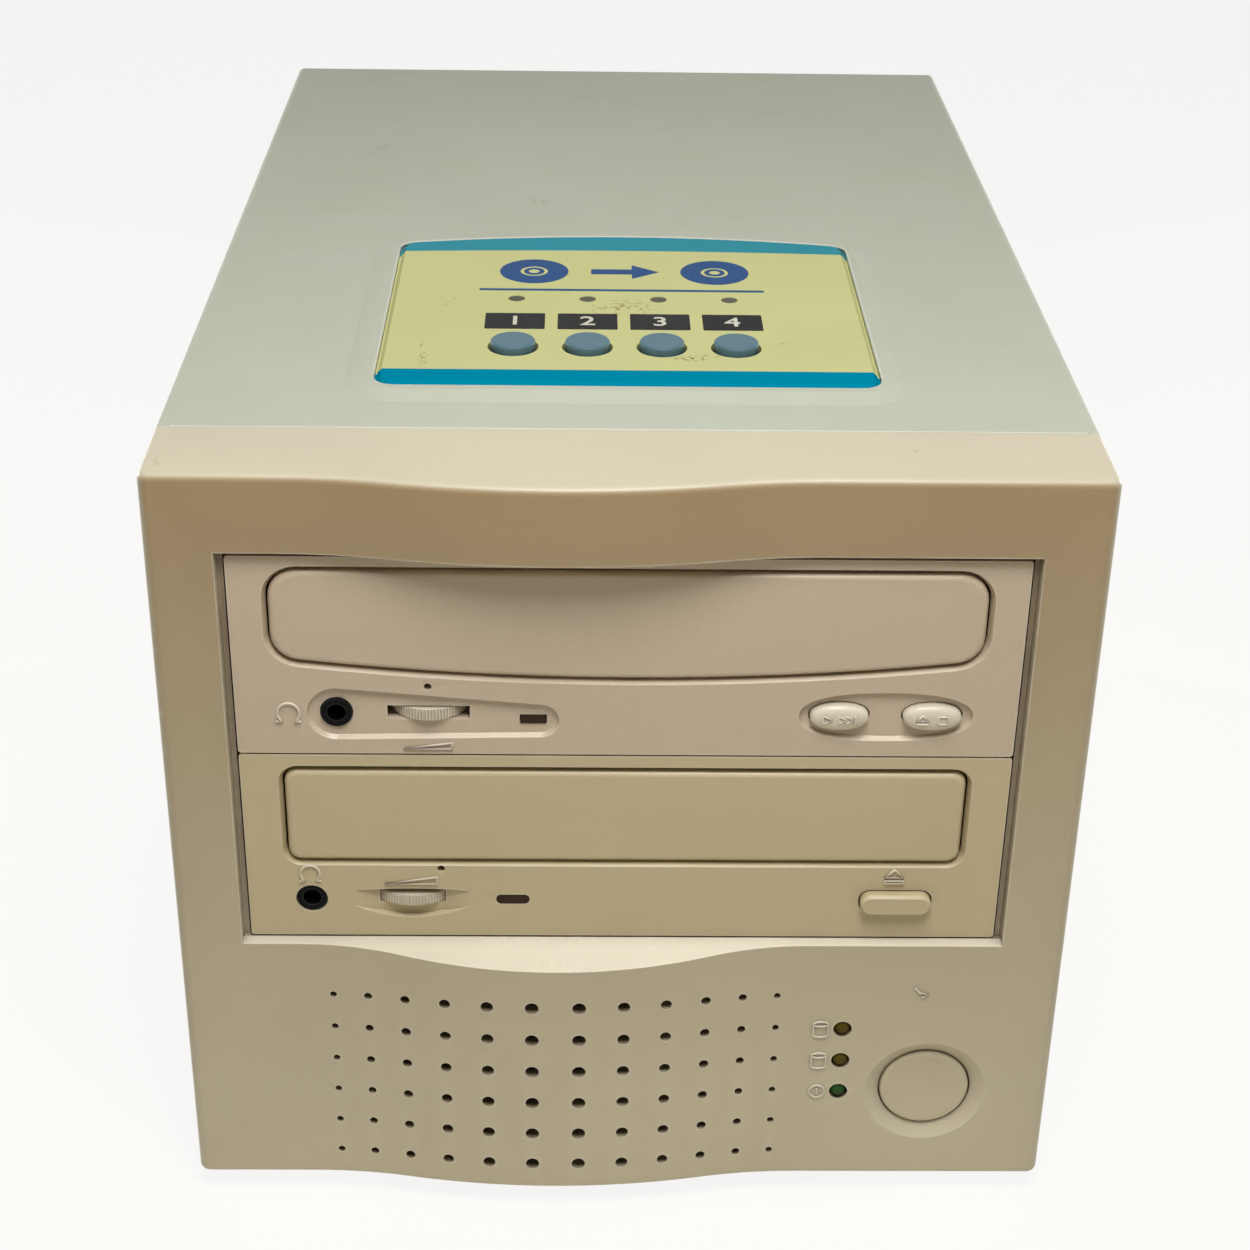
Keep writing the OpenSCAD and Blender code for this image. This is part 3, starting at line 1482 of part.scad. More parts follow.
module fan_screws() {
  color(zinc)
    for (p = fan_spots())
      rear_screw(p[0], p[1], y_rear + wire_d, fan_screw_l);
}

front_bezel();
top_cover();
base_pan();
rear_panel();
bay_plates();
rubber_feet();
cover_screws();
drive_screws();
power_button();
power_switch();
front_board();
disc_lamps();
power_lamp();
control_panel();
copy_button_1();
copy_button_2();
copy_button_3();
copy_button_4();
panel_lamps();
control_board();
board_parts();
ribbon_cable();
power_lead();
headphone_jacks();
guide_rods();
reader_face();
reader_case();
reader_lid();
reader_loader();
reader_board();
reader_tray();
reader_door();
reader_gear();
reader_wheel();
reader_spindle();
reader_sled();
reader_lamp();
reader_play_button();
reader_eject_button();
writer_face();
writer_case();
writer_lid();
writer_loader();
writer_board();
writer_tray();
writer_door();
writer_gear();
writer_wheel();
writer_spindle();
writer_sled();
writer_lamp();
writer_eject_button();
supply_case();
mains_inlet();
inlet_pins();
fan_frame();
fan_rotor();
fan_guard();
fan_screws();
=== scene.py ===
import math
from collections import namedtuple

import bmesh
import bpy
from mathutils import Matrix, Vector


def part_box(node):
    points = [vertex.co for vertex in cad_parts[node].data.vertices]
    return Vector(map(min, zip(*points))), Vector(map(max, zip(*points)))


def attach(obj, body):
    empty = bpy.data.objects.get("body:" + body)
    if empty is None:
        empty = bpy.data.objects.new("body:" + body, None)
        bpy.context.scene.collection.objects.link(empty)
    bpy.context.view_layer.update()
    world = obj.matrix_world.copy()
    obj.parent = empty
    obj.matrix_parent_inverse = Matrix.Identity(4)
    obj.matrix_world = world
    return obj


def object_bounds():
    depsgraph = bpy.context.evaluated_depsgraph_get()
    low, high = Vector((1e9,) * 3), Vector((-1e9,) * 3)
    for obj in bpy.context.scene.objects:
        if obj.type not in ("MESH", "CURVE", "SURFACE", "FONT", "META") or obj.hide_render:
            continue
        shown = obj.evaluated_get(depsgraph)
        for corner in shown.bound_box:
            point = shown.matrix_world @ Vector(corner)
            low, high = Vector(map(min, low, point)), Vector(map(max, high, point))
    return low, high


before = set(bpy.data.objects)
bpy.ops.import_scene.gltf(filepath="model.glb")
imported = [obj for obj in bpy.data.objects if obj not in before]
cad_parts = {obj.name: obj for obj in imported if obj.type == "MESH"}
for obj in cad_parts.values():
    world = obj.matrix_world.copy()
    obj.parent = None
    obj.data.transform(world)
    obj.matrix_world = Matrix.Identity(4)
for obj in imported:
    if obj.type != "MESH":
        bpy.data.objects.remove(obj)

bl_info = {
    "name": "Disc duplicator tower",
    "version": (1, 0, 0),
    "blender": (4, 5, 0),
    "location": "View3D > Sidebar > Duplicator",
    "description": "Finishes, moulded signs and studio stage for a two-drive disc duplicator tower",
    "category": "Object",
}

CAD_BOX = [list(corner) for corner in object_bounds()]
MM = 0.001


def screen(red, green, blue):
    """Linear colour from screen values of 0 to 255."""
    out = []
    for value in (red, green, blue):
        v = value / 255
        out.append(v / 12.92 if v <= 0.04045 else ((v + 0.055) / 1.055) ** 2.4)
    return tuple(out)


def colour_prop(name, description, red, green, blue):
    return bpy.props.FloatVectorProperty(
        name=name,
        description=description,
        subtype="COLOR",
        size=3,
        min=0,
        max=1,
        default=screen(red, green, blue),
    )


def length_prop(name, description, millimetres):
    return bpy.props.FloatProperty(
        name=name,
        description=description,
        unit="LENGTH",
        subtype="DISTANCE",
        precision=5,
        default=millimetres * MM,
    )


def power_prop(name, description, watts):
    return bpy.props.FloatProperty(name=name, description=description, unit="POWER", default=watts)


def share_prop(name, description, share):
    return bpy.props.FloatProperty(name=name, description=description, min=0, max=1, default=share)


# Values that a user would change


class DuplicatorColours(bpy.types.PropertyGroup):
    """Colours of the tower's finishes."""

    ivory: colour_prop("Ivory", "Moulded front and power button", 214, 206, 181)
    cover: colour_prop("Cover paint", "Painted steel cover", 199, 205, 190)
    reader: colour_prop("Upper drive", "Face and door of the upper drive", 215, 198, 175)
    writer: colour_prop("Lower drive", "Face and door of the lower drive", 211, 196, 160)
    button: colour_prop("Pale buttons", "Oval drive buttons and volume wheels", 234, 228, 210)
    film: colour_prop("Keypad film", "Printed yellow field of the keypad", 217, 219, 159)
    band: colour_prop("Front band", "Blue band at the front of the keypad", 0, 142, 177)
    faded: colour_prop("Rear band", "Bleached blue band at the rear of the keypad", 68, 160, 181)
    ink: colour_prop("Keypad signs", "Dark blue disc signs", 36, 82, 140)
    plate: colour_prop("Key plates", "Black plates above the keys", 18, 18, 20)
    numeral: colour_prop("Key numbers", "Numbers on the black plates", 222, 220, 205)
    key: colour_prop("Keys", "Grey-blue copy keys", 86, 121, 137)
    amber: colour_prop("Amber lamps", "Unlit amber lamps", 92, 79, 20)
    green: colour_prop("Green lamp", "Unlit green lamp", 46, 86, 40)
    lens: colour_prop("Dark lenses", "Lamp windows of the drives", 62, 49, 37)
    dot: colour_prop("Keypad lamps", "Grey lamp dots of the keypad", 92, 92, 78)
    jack: colour_prop("Jacks", "Headphone jacks", 8, 8, 9)
    black: colour_prop("Black plastic", "Inlet, fan, switch and board parts", 20, 20, 21)
    rubber: colour_prop("Rubber", "Feet", 38, 37, 36)
    zinc: colour_prop("Zinc plate", "Pan, rear panel and drive cases", 178, 180, 182)
    bright: colour_prop("Bright steel", "Screws, rods and fan guard", 198, 198, 196)
    board: colour_prop("Circuit board", "Solder mask", 26, 92, 52)
    loader: colour_prop("Drawers", "Disc trays and loader decks", 62, 61, 59)
    gear: colour_prop("Loading gears", "Milky gear plastic", 214, 210, 196)
    brass: colour_prop("Brass", "Inlet pins", 190, 158, 84)
    dust: colour_prop("Dust", "Settled dust", 196, 188, 166)
    # Darkens corners and hollows: soiling, and painted shade.
    grime: colour_prop("Grime", "Dirt in corners", 92, 74, 48)


class DuplicatorSizes(bpy.types.PropertyGroup):
    """Sizes of what the scene adds to the solids."""

    edge: length_prop("Moulded edge", "Rounding along the edges of moulded faces", 0.45)
    sign_line: length_prop("Sign line", "Half width of a raised sign line", 0.3)
    band_front: length_prop("Front band", "Depth of the front blue band", 6.9)
    band_rear: length_prop("Rear band", "Depth of the rear blue band in its middle", 9.8)
    band_sag: length_prop("Band sag", "How far the rear band's front edge falls back at its ends", 1.4)
    plate_width: length_prop("Plate width", "Width of a black key plate", 12.3)
    plate_depth: length_prop("Plate depth", "Depth of a black key plate", 8.8)
    plate_back: length_prop("Plate place", "How far a key plate lies behind its key", 14)
    number: length_prop("Number size", "Size of a number on a key plate", 6.8)
    ink_height: length_prop("Ink height", "Thickness of a printed layer", 0.05)
    disc_radius: length_prop("Disc sign", "Radius of a disc sign on the keypad", 7.4)
    bow: length_prop("Keypad bow", "How far the keypad's rear edge bows out", 4.5)
    corner: length_prop("Keypad corner", "Corner radius of the keypad's window", 4.0)
    lip: length_prop("Window lip", "Half width of the pressed lip round the keypad", 0.3)
    hem: length_prop("Cover hem", "Half width of the rolled front edge of the cover", 0.2)


class DuplicatorStage(bpy.types.PropertyGroup):
    """Floor, lamps and camera."""

    floor: colour_prop("Floor", "Plain pale floor", 228, 221, 202)
    place: bpy.props.FloatVectorProperty(
        name="Camera place",
        description="Where the camera stands",
        subtype="TRANSLATION",
        default=(-0.00863, -0.5125, 0.3439),
    )
    turn: bpy.props.FloatVectorProperty(
        name="Camera turn",
        description="Yaw to the right, pitch down and roll of the camera",
        subtype="EULER",
        default=(math.radians(1.19), math.radians(28.56), math.radians(0.94)),
    )
    lens: bpy.props.FloatProperty(
        name="Lens",
        description="Focal length on a 36 mm wide sensor",
        unit="CAMERA",
        default=67.46,
    )
    key_power: power_prop("Key lamp", "Power of the soft lamp overhead", 3.5)
    fill_power: power_prop("Fill lamp", "Power of the warm lamp in front", 0.2)
    side_power: power_prop("Side lamps", "Power of each low lamp behind the tower", 0.75)
    ambient: share_prop("Ambient", "Even light from all round", 0.085)
    backdrop: share_prop("Backdrop", "Brightness of the backdrop as it is seen", 0.905)
    glow: share_prop("Floor glow", "Share of the floor that shows as plain white", 0.84)
    white: bpy.props.FloatProperty(name="Floor white", description="Brightness of that white", default=1.05)


# Meshes


def link_piece(name, data, body, finish):
    """Puts a new piece in the scene, on a body of the model."""
    piece = bpy.data.objects.new(name, data)
    bpy.context.scene.collection.objects.link(piece)
    data.materials.append(finish)
    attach(piece, body)


def slab(name, outlines, low, high, body, finish):
    """Flat piece from closed outlines of (x, y) in metres, with holes where a second ring is given."""
    shape = bmesh.new()
    for rings in outlines:
        edges = []
        for outline in rings:
            corners = [shape.verts.new((x, y, high)) for x, y in outline]
            edges += [shape.edges.new((corners[i - 1], corners[i])) for i in range(len(corners))]
        bmesh.ops.triangle_fill(shape, use_beauty=True, edges=edges, normal=(0, 0, 1))
    top = list(shape.faces)
    grown = bmesh.ops.extrude_face_region(shape, geom=top, use_keep_orig=True)
    for part in grown["geom"]:
        if isinstance(part, bmesh.types.BMVert):
            part.co.z = low
    bmesh.ops.recalc_face_normals(shape, faces=list(shape.faces))
    mesh = bpy.data.meshes.new(name)
    shape.to_mesh(mesh)
    shape.free()
    link_piece(name, mesh, body, finish)


def ring(x, y, radius, count=64):
    """Points on a circle about (x, y)."""
    turn = 2 * math.pi / count
    return [(x + radius * math.cos(i * turn), y + radius * math.sin(i * turn)) for i in range(count)]


def round_rect(x, y, width, depth, radius, count):
    """Rounded rectangle about (x, y)."""
    points = []
    for cx, cy, start in ((1, 1, 0), (-1, 1, 90), (-1, -1, 180), (1, -1, 270)):
        for i in range(count + 1):
            a = math.radians(start + 90 * i / count)
            px = x + cx * (width / 2 - radius) + radius * math.cos(a)
            py = y + cy * (depth / 2 - radius) + radius * math.sin(a)
            points.append((px, py))
    return points


def thin_tube(name, lines, body, finish, radius):
    """Round lines through points in metres. Each line is (closed, points)."""
    curve = bpy.data.curves.new(name, "CURVE")
    curve.dimensions = "3D"
    curve.bevel_depth = radius
    curve.bevel_resolution = 3
    curve.use_fill_caps = True
    for closed, points in lines:
        spline = curve.splines.new("POLY")
        spline.points.add(len(points) - 1)
        spline.use_cyclic_u = closed
        spline.use_smooth = True
        for target, point in zip(spline.points, points):
            target.co = (*point, 1)
    link_piece(name, curve, body, finish)


def raised_sign(name, lines, depth, body, finish, radius):
    """Raised half-round lines on an upright face, each as (closed, points) with (x, z) in millimetres."""
    placed = []
    for closed, points in lines:
        placed.append((closed, [(x * MM, depth, z * MM) for x, z in points]))
    thin_tube(name, placed, body, finish, radius)


def arc(x, z, rx, rz, start, end, count=20):
    """Points on an oval about (x, z), between two angles in degrees."""
    points = []
    for i in range(count + 1):
        a = math.radians(start + (end - start) * i / count)
        points.append((x + rx * math.cos(a), z + rz * math.sin(a)))
    return points


# Node helpers


def add_node(tree, kind, **settings):
    node = tree.nodes.new(kind)
    for key, value in settings.items():
        setattr(node, key, value)
    return node


def add_socket(tree, name, side, kind, default=None):
    socket = tree.interface.new_socket(name=name, in_out=side, socket_type=kind)
    if default is not None:
        socket.default_value = default


def join(tree, start, end):
    """Links a socket to another one, or sets a number, a vector or a colour there."""
    if isinstance(start, bpy.types.NodeSocket):
        tree.links.new(start, end)
    elif end.type == "RGBA":
        end.default_value = (*start, 1)
    else:
        end.default_value = start


def feed(tree, node, **values):
    """Joins values to a node's inputs. An underscore in a key stands for a space."""
    for key, value in values.items():
        join(tree, value, node.inputs[key.replace("_", " ")])
    return node.outputs


def maths(tree, operation, first, second):
    """Math node; each input is a socket or a number."""
    node = add_node(tree, "ShaderNodeMath", operation=operation)
    join(tree, first, node.inputs[0])
    join(tree, second, node.inputs[1])
    return node.outputs[0]


def product(tree, *factors):
    """Product of sockets and numbers."""
    result = factors[0]
    for factor in factors[1:]:
        result = maths(tree, "MULTIPLY", result, factor)
    return result


def vector_maths(tree, operation, *vectors):
    """Outputs of a vector math node on sockets."""
    node = add_node(tree, "ShaderNodeVectorMath", operation=operation)
    for slot, vector in zip(node.inputs, vectors):
        join(tree, vector, slot)
    return node.outputs


def spread(tree, value, from_low, from_high, to_low, to_high):
    """Clamped range of a value; the ends are numbers or sockets."""
    node = add_node(tree, "ShaderNodeMapRange", clamp=True)
    feed(tree, node, Value=value, From_Min=from_low, From_Max=from_high, To_Min=to_low, To_Max=to_high)
    return node.outputs[0]


def blend_colour(tree, factor, first, second, mode="MIX"):
    """Mix of two colours; each is a socket or a colour."""
    node = add_node(tree, "ShaderNodeMix", data_type="RGBA", blend_type=mode)
    slots = {slot.identifier: slot for slot in node.inputs}
    join(tree, factor, slots["Factor_Float"])
    join(tree, first, slots["A_Color"])
    join(tree, second, slots["B_Color"])
    return next(slot for slot in node.outputs if slot.identifier == "Result_Color")


def shaded(tree, colour, shade):
    """A colour times a shade."""
    return blend_colour(tree, 1.0, colour, shade, "MULTIPLY")


def surface_place(tree):
    """Place on the surface, in the tower's own metres."""
    return add_node(tree, "ShaderNodeTexCoord").outputs["Object"]


def surface_normal(tree):
    return add_node(tree, "ShaderNodeNewGeometry").outputs["Normal"]


def axes_of(tree, vector):
    """X, Y and Z of a vector."""
    node = add_node(tree, "ShaderNodeSeparateXYZ")
    join(tree, vector, node.inputs[0])
    return node.outputs


def noise(tree, vector, scale, detail, roughness):
    node = add_node(tree, "ShaderNodeTexNoise")
    return feed(tree, node, Vector=vector, Scale=scale, Detail=detail, Roughness=roughness)["Fac"]


def cells(tree, vector, scale):
    return feed(tree, add_node(tree, "ShaderNodeTexVoronoi"), Vector=vector, Scale=scale)


# Effects that several finishes share


def new_group(name, inputs, outputs):
    """Empty shader group with its sockets. The length of a default tells the kind of its socket."""
    kinds = {1: "NodeSocketFloat", 3: "NodeSocketVector", 4: "NodeSocketColor"}
    tree = bpy.data.node_groups.new(name, "ShaderNodeTree")
    for side, sockets in (("INPUT", inputs), ("OUTPUT", outputs)):
        for socket, default in sockets.items():
            count = len(default) if isinstance(default, tuple) else 1
            add_socket(tree, socket, side, kinds[count], default)
    return tree, add_node(tree, "NodeGroupInput").outputs, add_node(tree, "NodeGroupOutput").inputs


def surface_grain(name):
    """Fine moulded or painted grain, and a slow drift of the shade."""
    inputs = {"Fineness": 2600, "Mottle": 0.03}
    tree, given, result = new_group(name, inputs, {"Height": 0, "Shade": 0})
    place = surface_place(tree)
    fine = noise(tree, place, given["Fineness"], 3, 0.6)
    slow = noise(tree, place, 24, 5, 0.6)
    low = maths(tree, "SUBTRACT", 1, given["Mottle"])
    high = maths(tree, "ADD", 1, given["Mottle"])
    join(tree, fine, result["Height"])
    join(tree, spread(tree, slow, 0.3, 0.7, low, high), result["Shade"])


def handling_wear(name):
    """Edges turned pale, partly abrasion and partly a painted highlight, and corners darkened, partly
    soiling and partly painted shade.
    """
    inputs = {
        "Color": (0.5, 0.5, 0.5, 1),
        "Worn Color": (0.8, 0.8, 0.75, 1),
        "Wear": 0.3,
        "Grime Color": (0.1, 0.07, 0.03, 1),
        "Grime": 0.3,
        "Edge": 0.0006,
    }
    tree, given, result = new_group(name, inputs, {"Color": (0, 0, 0, 1), "Mask": 0})
    place = surface_place(tree)
    # Mask of pale edges: abrasion, and a painted highlight along rounded edges.
    soft = add_node(tree, "ShaderNodeBevel", samples=4)
    join(tree, given["Edge"], soft.inputs["Radius"])
    facing = vector_maths(tree, "DOT_PRODUCT", soft.outputs["Normal"], surface_normal(tree))
    edge = spread(tree, facing["Value"], 0.985, 0.82, 0, 1)
    patch = spread(tree, noise(tree, place, 140, 4, 0.6), 0.36, 0.62, 0.45, 1)
    rubbed_and_highlit = product(tree, edge, patch, given["Wear"])
    # Ambient occlusion darkens hollows and corners: soiling, and painted shade where shade falls.
    hollow = add_node(tree, "ShaderNodeAmbientOcclusion", samples=4)
    hollow.inputs["Distance"].default_value = 0.003
    corner = spread(tree, hollow.outputs["AO"], 0.92, 0.48, 0, 1)
    held = spread(tree, noise(tree, place, 60, 4, 0.65), 0.3, 0.62, 0.6, 1)
    dirt_and_shade = product(tree, corner, held, given["Grime"])
    pale_edged = blend_colour(tree, rubbed_and_highlit, given["Color"], given["Worn Color"])
    join(tree, blend_colour(tree, dirt_and_shade, pale_edged, given["Grime Color"]), result["Color"])
    join(tree, maths(tree, "MAXIMUM", rubbed_and_highlit, dirt_and_shade), result["Mask"])


def settled_dust(name):
    """Dust that lies on faces that look up."""
    inputs = {"Color": (0.5, 0.5, 0.5, 1), "Dust Color": (0.5, 0.45, 0.36, 1), "Amount": 0.15}
    tree, given, result = new_group(name, inputs, {"Color": (0, 0, 0, 1), "Mask": 0})
    upward = spread(tree, axes_of(tree, surface_normal(tree))["Z"], 0.35, 0.95, 0, 1)
    cloud = spread(tree, noise(tree, surface_place(tree), 45, 6, 0.68), 0.36, 0.7, 0, 1)
    mask = product(tree, upward, cloud, given["Amount"])
    dusty = blend_colour(tree, mask, given["Color"], given["Dust Color"])
    join(tree, dusty, result["Color"])
    join(tree, mask, result["Mask"])


def scuff_patch(name):
    """A patch of small marks round one place."""
    inputs = {"Centre": (0, 0, 0), "Reach": (0.01, 0.01, 0.01), "Fineness": 700}
    tree, given, result = new_group(name, inputs, {"Mask": 0})
    place = surface_place(tree)
    away = vector_maths(tree, "SUBTRACT", place, given["Centre"])
    ratio = vector_maths(tree, "DIVIDE", away["Vector"], given["Reach"])
    length = vector_maths(tree, "LENGTH", ratio["Vector"])
    near = spread(tree, length["Value"], 1, 0.3, 0, 1)
    marks = spread(tree, noise(tree, place, given["Fineness"], 4, 0.7), 0.53, 0.6, 0, 1)
    join(tree, product(tree, near, marks), result["Mask"])


EFFECTS = {
    "Surface grain": surface_grain,
    "Handling wear": handling_wear,
    "Settled dust": settled_dust,
    "Scuff patch": scuff_patch,
}


def place_group(tree, name, **values):
    """Outputs of a shared effect in a finish, which has its own values."""
    if name not in bpy.data.node_groups:
        EFFECTS[name](name)
    return feed(tree, add_node(tree, "ShaderNodeGroup", node_tree=bpy.data.node_groups[name]), **values)


# Finishes


def new_finish(name):
    finish = bpy.data.materials.new(name)
    finish.use_nodes = True
    tree = finish.node_tree
    return finish, tree, tree.nodes["Principled BSDF"]


def bump(tree, height, strength, distance, shader):
    node = add_node(tree, "ShaderNodeBump")
    raised = feed(tree, node, Strength=strength, Distance=distance, Height=height)
    join(tree, raised["Normal"], shader.inputs["Normal"])


def lighter(colour, amount):
    return tuple(c + (1 - c) * amount for c in colour)


def yellowed(tree, colour, low, high, tint):
    """Painted warm shade on front-facing faces, fading in between two heights in millimetres."""
    height = spread(tree, axes_of(tree, surface_place(tree))["Z"], low * MM, high * MM, 0, 1)
    forward = spread(tree, axes_of(tree, surface_normal(tree))["Y"], -0.6, -0.95, 0, 1)
    return blend_colour(tree, product(tree, height, forward), colour, tint, "MULTIPLY")


def scuffed(tree, shown, scuffs):
    """Patches of marks on a colour. Each is (centre, reach, fineness, tint), in millimetres."""
    for centre, reach, fineness, tint in scuffs:
        middle = [c * MM for c in centre]
        size = [r * MM for r in reach]
        patch = place_group(tree, "Scuff patch", Centre=middle, Reach=size, Fineness=fineness)
        shown = blend_colour(tree, patch["Mask"], shown, tint)
    return shown


def worn_and_dusty(tree, colour, pale_edge_colour, wear, grime, dust):
    """A colour with pale edges (abrasion and a painted highlight), darkened corners (soiling and painted
    shade) and dust on top, as the dust effect's outputs.
    """
    colours = bpy.context.scene.duplicator_colours
    pale_edged = place_group(
        tree,
        "Handling wear",
        Color=colour,
        Worn_Color=pale_edge_colour,
        Wear=wear,
        Grime_Color=colours.grime,
        Grime=grime,
    )
    shown = pale_edged["Color"]
    return place_group(tree, "Settled dust", Color=shown, Dust_Color=colours.dust, Amount=dust)


def grain_rough(tree, grained, low, high):
    """Roughness that follows the grain."""
    return spread(tree, grained["Height"], 0.3, 0.7, low, high)


# One row for each plastic, paint and ink

# In each row, the fifth and sixth numbers set pale edges, partly a painted highlight, and dark corners,
# partly painted shade.
Moulding = namedtuple("Moulding", "rough fineness grain mottle wear grime dust shine")
SIGN_PLASTIC = Moulding(0.4, 2600, 0.05, 0.02, 0.2, 0.2, 0.05, 0.3)
MOULDINGS = {
    "Ivory moulding": Moulding(0.38, 2600, 0.12, 0.03, 0.9, 0.9, 0.1, 0.5),
    "Cover paint": Moulding(0.4, 1500, 0.16, 0.025, 0.3, 0.35, 0.18, 0.08),
    "Rubbed cover edge": Moulding(0.36, 2600, 0.12, 0.03, 0.25, 0, 0.1, 0.3),
    "Foot rubber": Moulding(0.72, 1200, 0.3, 0.12, 0.1, 0.3, 0.25, 0.3),
    "Key plastic": Moulding(0.4, 2200, 0.06, 0.05, 0.2, 0.3, 0.06, 0.14),
    "Sign ink": Moulding(0.4, 1800, 0.03, 0.06, 0, 0, 0.02, 0.04),
    "Plate ink": Moulding(0.4, 1800, 0.03, 0.1, 0, 0, 0.02, 0.06),
    "Number ink": Moulding(0.4, 1800, 0.03, 0.05, 0, 0, 0.05, 0.1),
    "Upper drive plastic": Moulding(0.3, 3000, 0.08, 0.02, 0.8, 0.3, 0.1, 0.5),
    "Lower drive plastic": Moulding(0.32, 3000, 0.08, 0.025, 0.7, 0.3, 0.12, 0.5),
    "Pale button plastic": Moulding(0.33, 2600, 0.05, 0.02, 0.15, 0.4, 0.08, 0.45),
    "Power button plastic": Moulding(0.42, 2600, 0.1, 0.03, 0.2, 0.3, 0.1, 0.3),
    "Jack plastic": Moulding(0.3, 1600, 0.05, 0.12, 0.1, 0, 0, 0.08),
    "Upper sign plastic": SIGN_PLASTIC,
    "Lower sign plastic": SIGN_PLASTIC,
    "Front sign plastic": SIGN_PLASTIC,
    "Button sign plastic": SIGN_PLASTIC,
    "Drawer plastic": Moulding(0.44, 1900, 0.16, 0.05, 0.2, 0.1, 0.04, 0.3),
    "Gear plastic": Moulding(0.38, 2400, 0.04, 0.03, 0.1, 0.2, 0.05, 0.3),
    "Black plastic": Moulding(0.34, 1600, 0.1, 0.12, 0.2, 0.1, 0.12, 0.3),
}


def moulded(name, colour, scuffs=(), front_shade=None):
    """Plastic, paint or ink: fine grain, slow drift of shade, pale edges with a painted highlight, darkened
    corners with painted shade, dust, scuffs and, where asked, painted shade on upper front faces.
    """
    kind = MOULDINGS[name]
    finish, tree, shader = new_finish(name)
    shader.inputs["Specular IOR Level"].default_value = kind.shine
    grained = place_group(tree, "Surface grain", Fineness=kind.fineness, Mottle=kind.mottle)
    toned = shaded(tree, colour, grained["Shade"])
    # Painted warm shade on the upper front faces, where asked.
    if front_shade:
        toned = yellowed(tree, toned, *front_shade)
    # Pale edges stand partly for a painted highlight, dark corners partly for painted shade.
    dusty = worn_and_dusty(tree, toned, lighter(colour, 0.6), kind.wear, kind.grime, kind.dust)
    join(tree, scuffed(tree, dusty["Color"], scuffs), shader.inputs["Base Color"])
    clean = grain_rough(tree, grained, kind.rough - 0.06, kind.rough + 0.06)
    dulled = product(tree, dusty["Mask"], 0.3)
    join(tree, maths(tree, "ADD", clean, dulled), shader.inputs["Roughness"])
    bump(tree, grained["Height"], kind.grain, 0.0002, shader)
    return finish


def plated(name, colour, rough=0.32, spangle=90):
    """Plated sheet or wire: crystal spangle, fine grain, pale edges with a painted highlight, darkened
    hollows with painted shade, and light dust.
    """
    if name in bpy.data.materials:
        return bpy.data.materials[name]
    finish, tree, shader = new_finish(name)
    place = surface_place(tree)
    tone = add_node(tree, "ShaderNodeRGBToBW")
    join(tree, cells(tree, place, spangle)["Color"], tone.inputs[0])
    lines = noise(tree, place, 900, 3, 0.6)
    base = shaded(tree, colour, spread(tree, tone.outputs[0], 0, 1, 0.86, 1.06))
    # Painted shade in hollows keeps the plate inside the vents dark; pale edges are partly a painted
    # highlight.
    dusty = worn_and_dusty(tree, base, lighter(colour, 0.3), wear=0.2, grime=0.6, dust=0.12)
    shader.inputs["Metallic"].default_value = 1
    join(tree, dusty["Color"], shader.inputs["Base Color"])
    cut = spread(tree, lines, 0.3, 0.7, rough - 0.07, rough + 0.1)
    varied = maths(tree, "ADD", cut, spread(tree, tone.outputs[0], 0, 1, -0.04, 0.06))
    join(tree, varied, shader.inputs["Roughness"])
    bump(tree, lines, 0.05, 0.0001, shader)
    return finish


def zinc_plate():
    return plated("Zinc plate", bpy.context.scene.duplicator_colours.zinc)


def bright_steel():
    return plated("Bright steel", bpy.context.scene.duplicator_colours.bright, rough=0.24, spangle=300)


def lens_finish(name, colour, rough=0.18):
    """Cast lamp lens, unlit: deep colour with a clear skin."""
    finish, tree, shader = new_finish(name)
    grained = place_group(tree, "Surface grain", Fineness=900, Mottle=0.25)
    join(tree, shaded(tree, colour, grained["Shade"]), shader.inputs["Base Color"])
    join(tree, grain_rough(tree, grained, rough, rough + 0.1), shader.inputs["Roughness"])
    shader.inputs["Specular IOR Level"].default_value = 0.06
    shader.inputs["Coat Weight"].default_value = 0.03
    shader.inputs["Coat Roughness"].default_value = 0.06
    return finish


def board_finish(name, colour):
    """Circuit board: solder mask over copper tracks, with tinned pads."""
    finish, tree, shader = new_finish(name)
    place = surface_place(tree)
    bricks = add_node(tree, "ShaderNodeTexBrick", offset=0.37, squash=0.6, squash_frequency=3)
    tracks = feed(tree, bricks, Vector=place, Scale=90, Mortar_Size=0.03)["Fac"]
    pads = cells(tree, place, 210)
    grained = place_group(tree, "Surface grain", Fineness=1500, Mottle=0.08)
    mask = shaded(tree, colour, grained["Shade"])
    tracked = blend_colour(tree, tracks, mask, lighter(colour, 0.12))
    dots = spread(tree, pads["Distance"], 0.2, 0.14, 0, 1)
    tinned = blend_colour(tree, dots, tracked, screen(176, 176, 168))
    join(tree, tinned, shader.inputs["Base Color"])
    join(tree, spread(tree, dots, 0, 1, 0.38, 0.25), shader.inputs["Roughness"])
    bump(tree, tracks, 0.2, 0.0001, shader)
    return finish


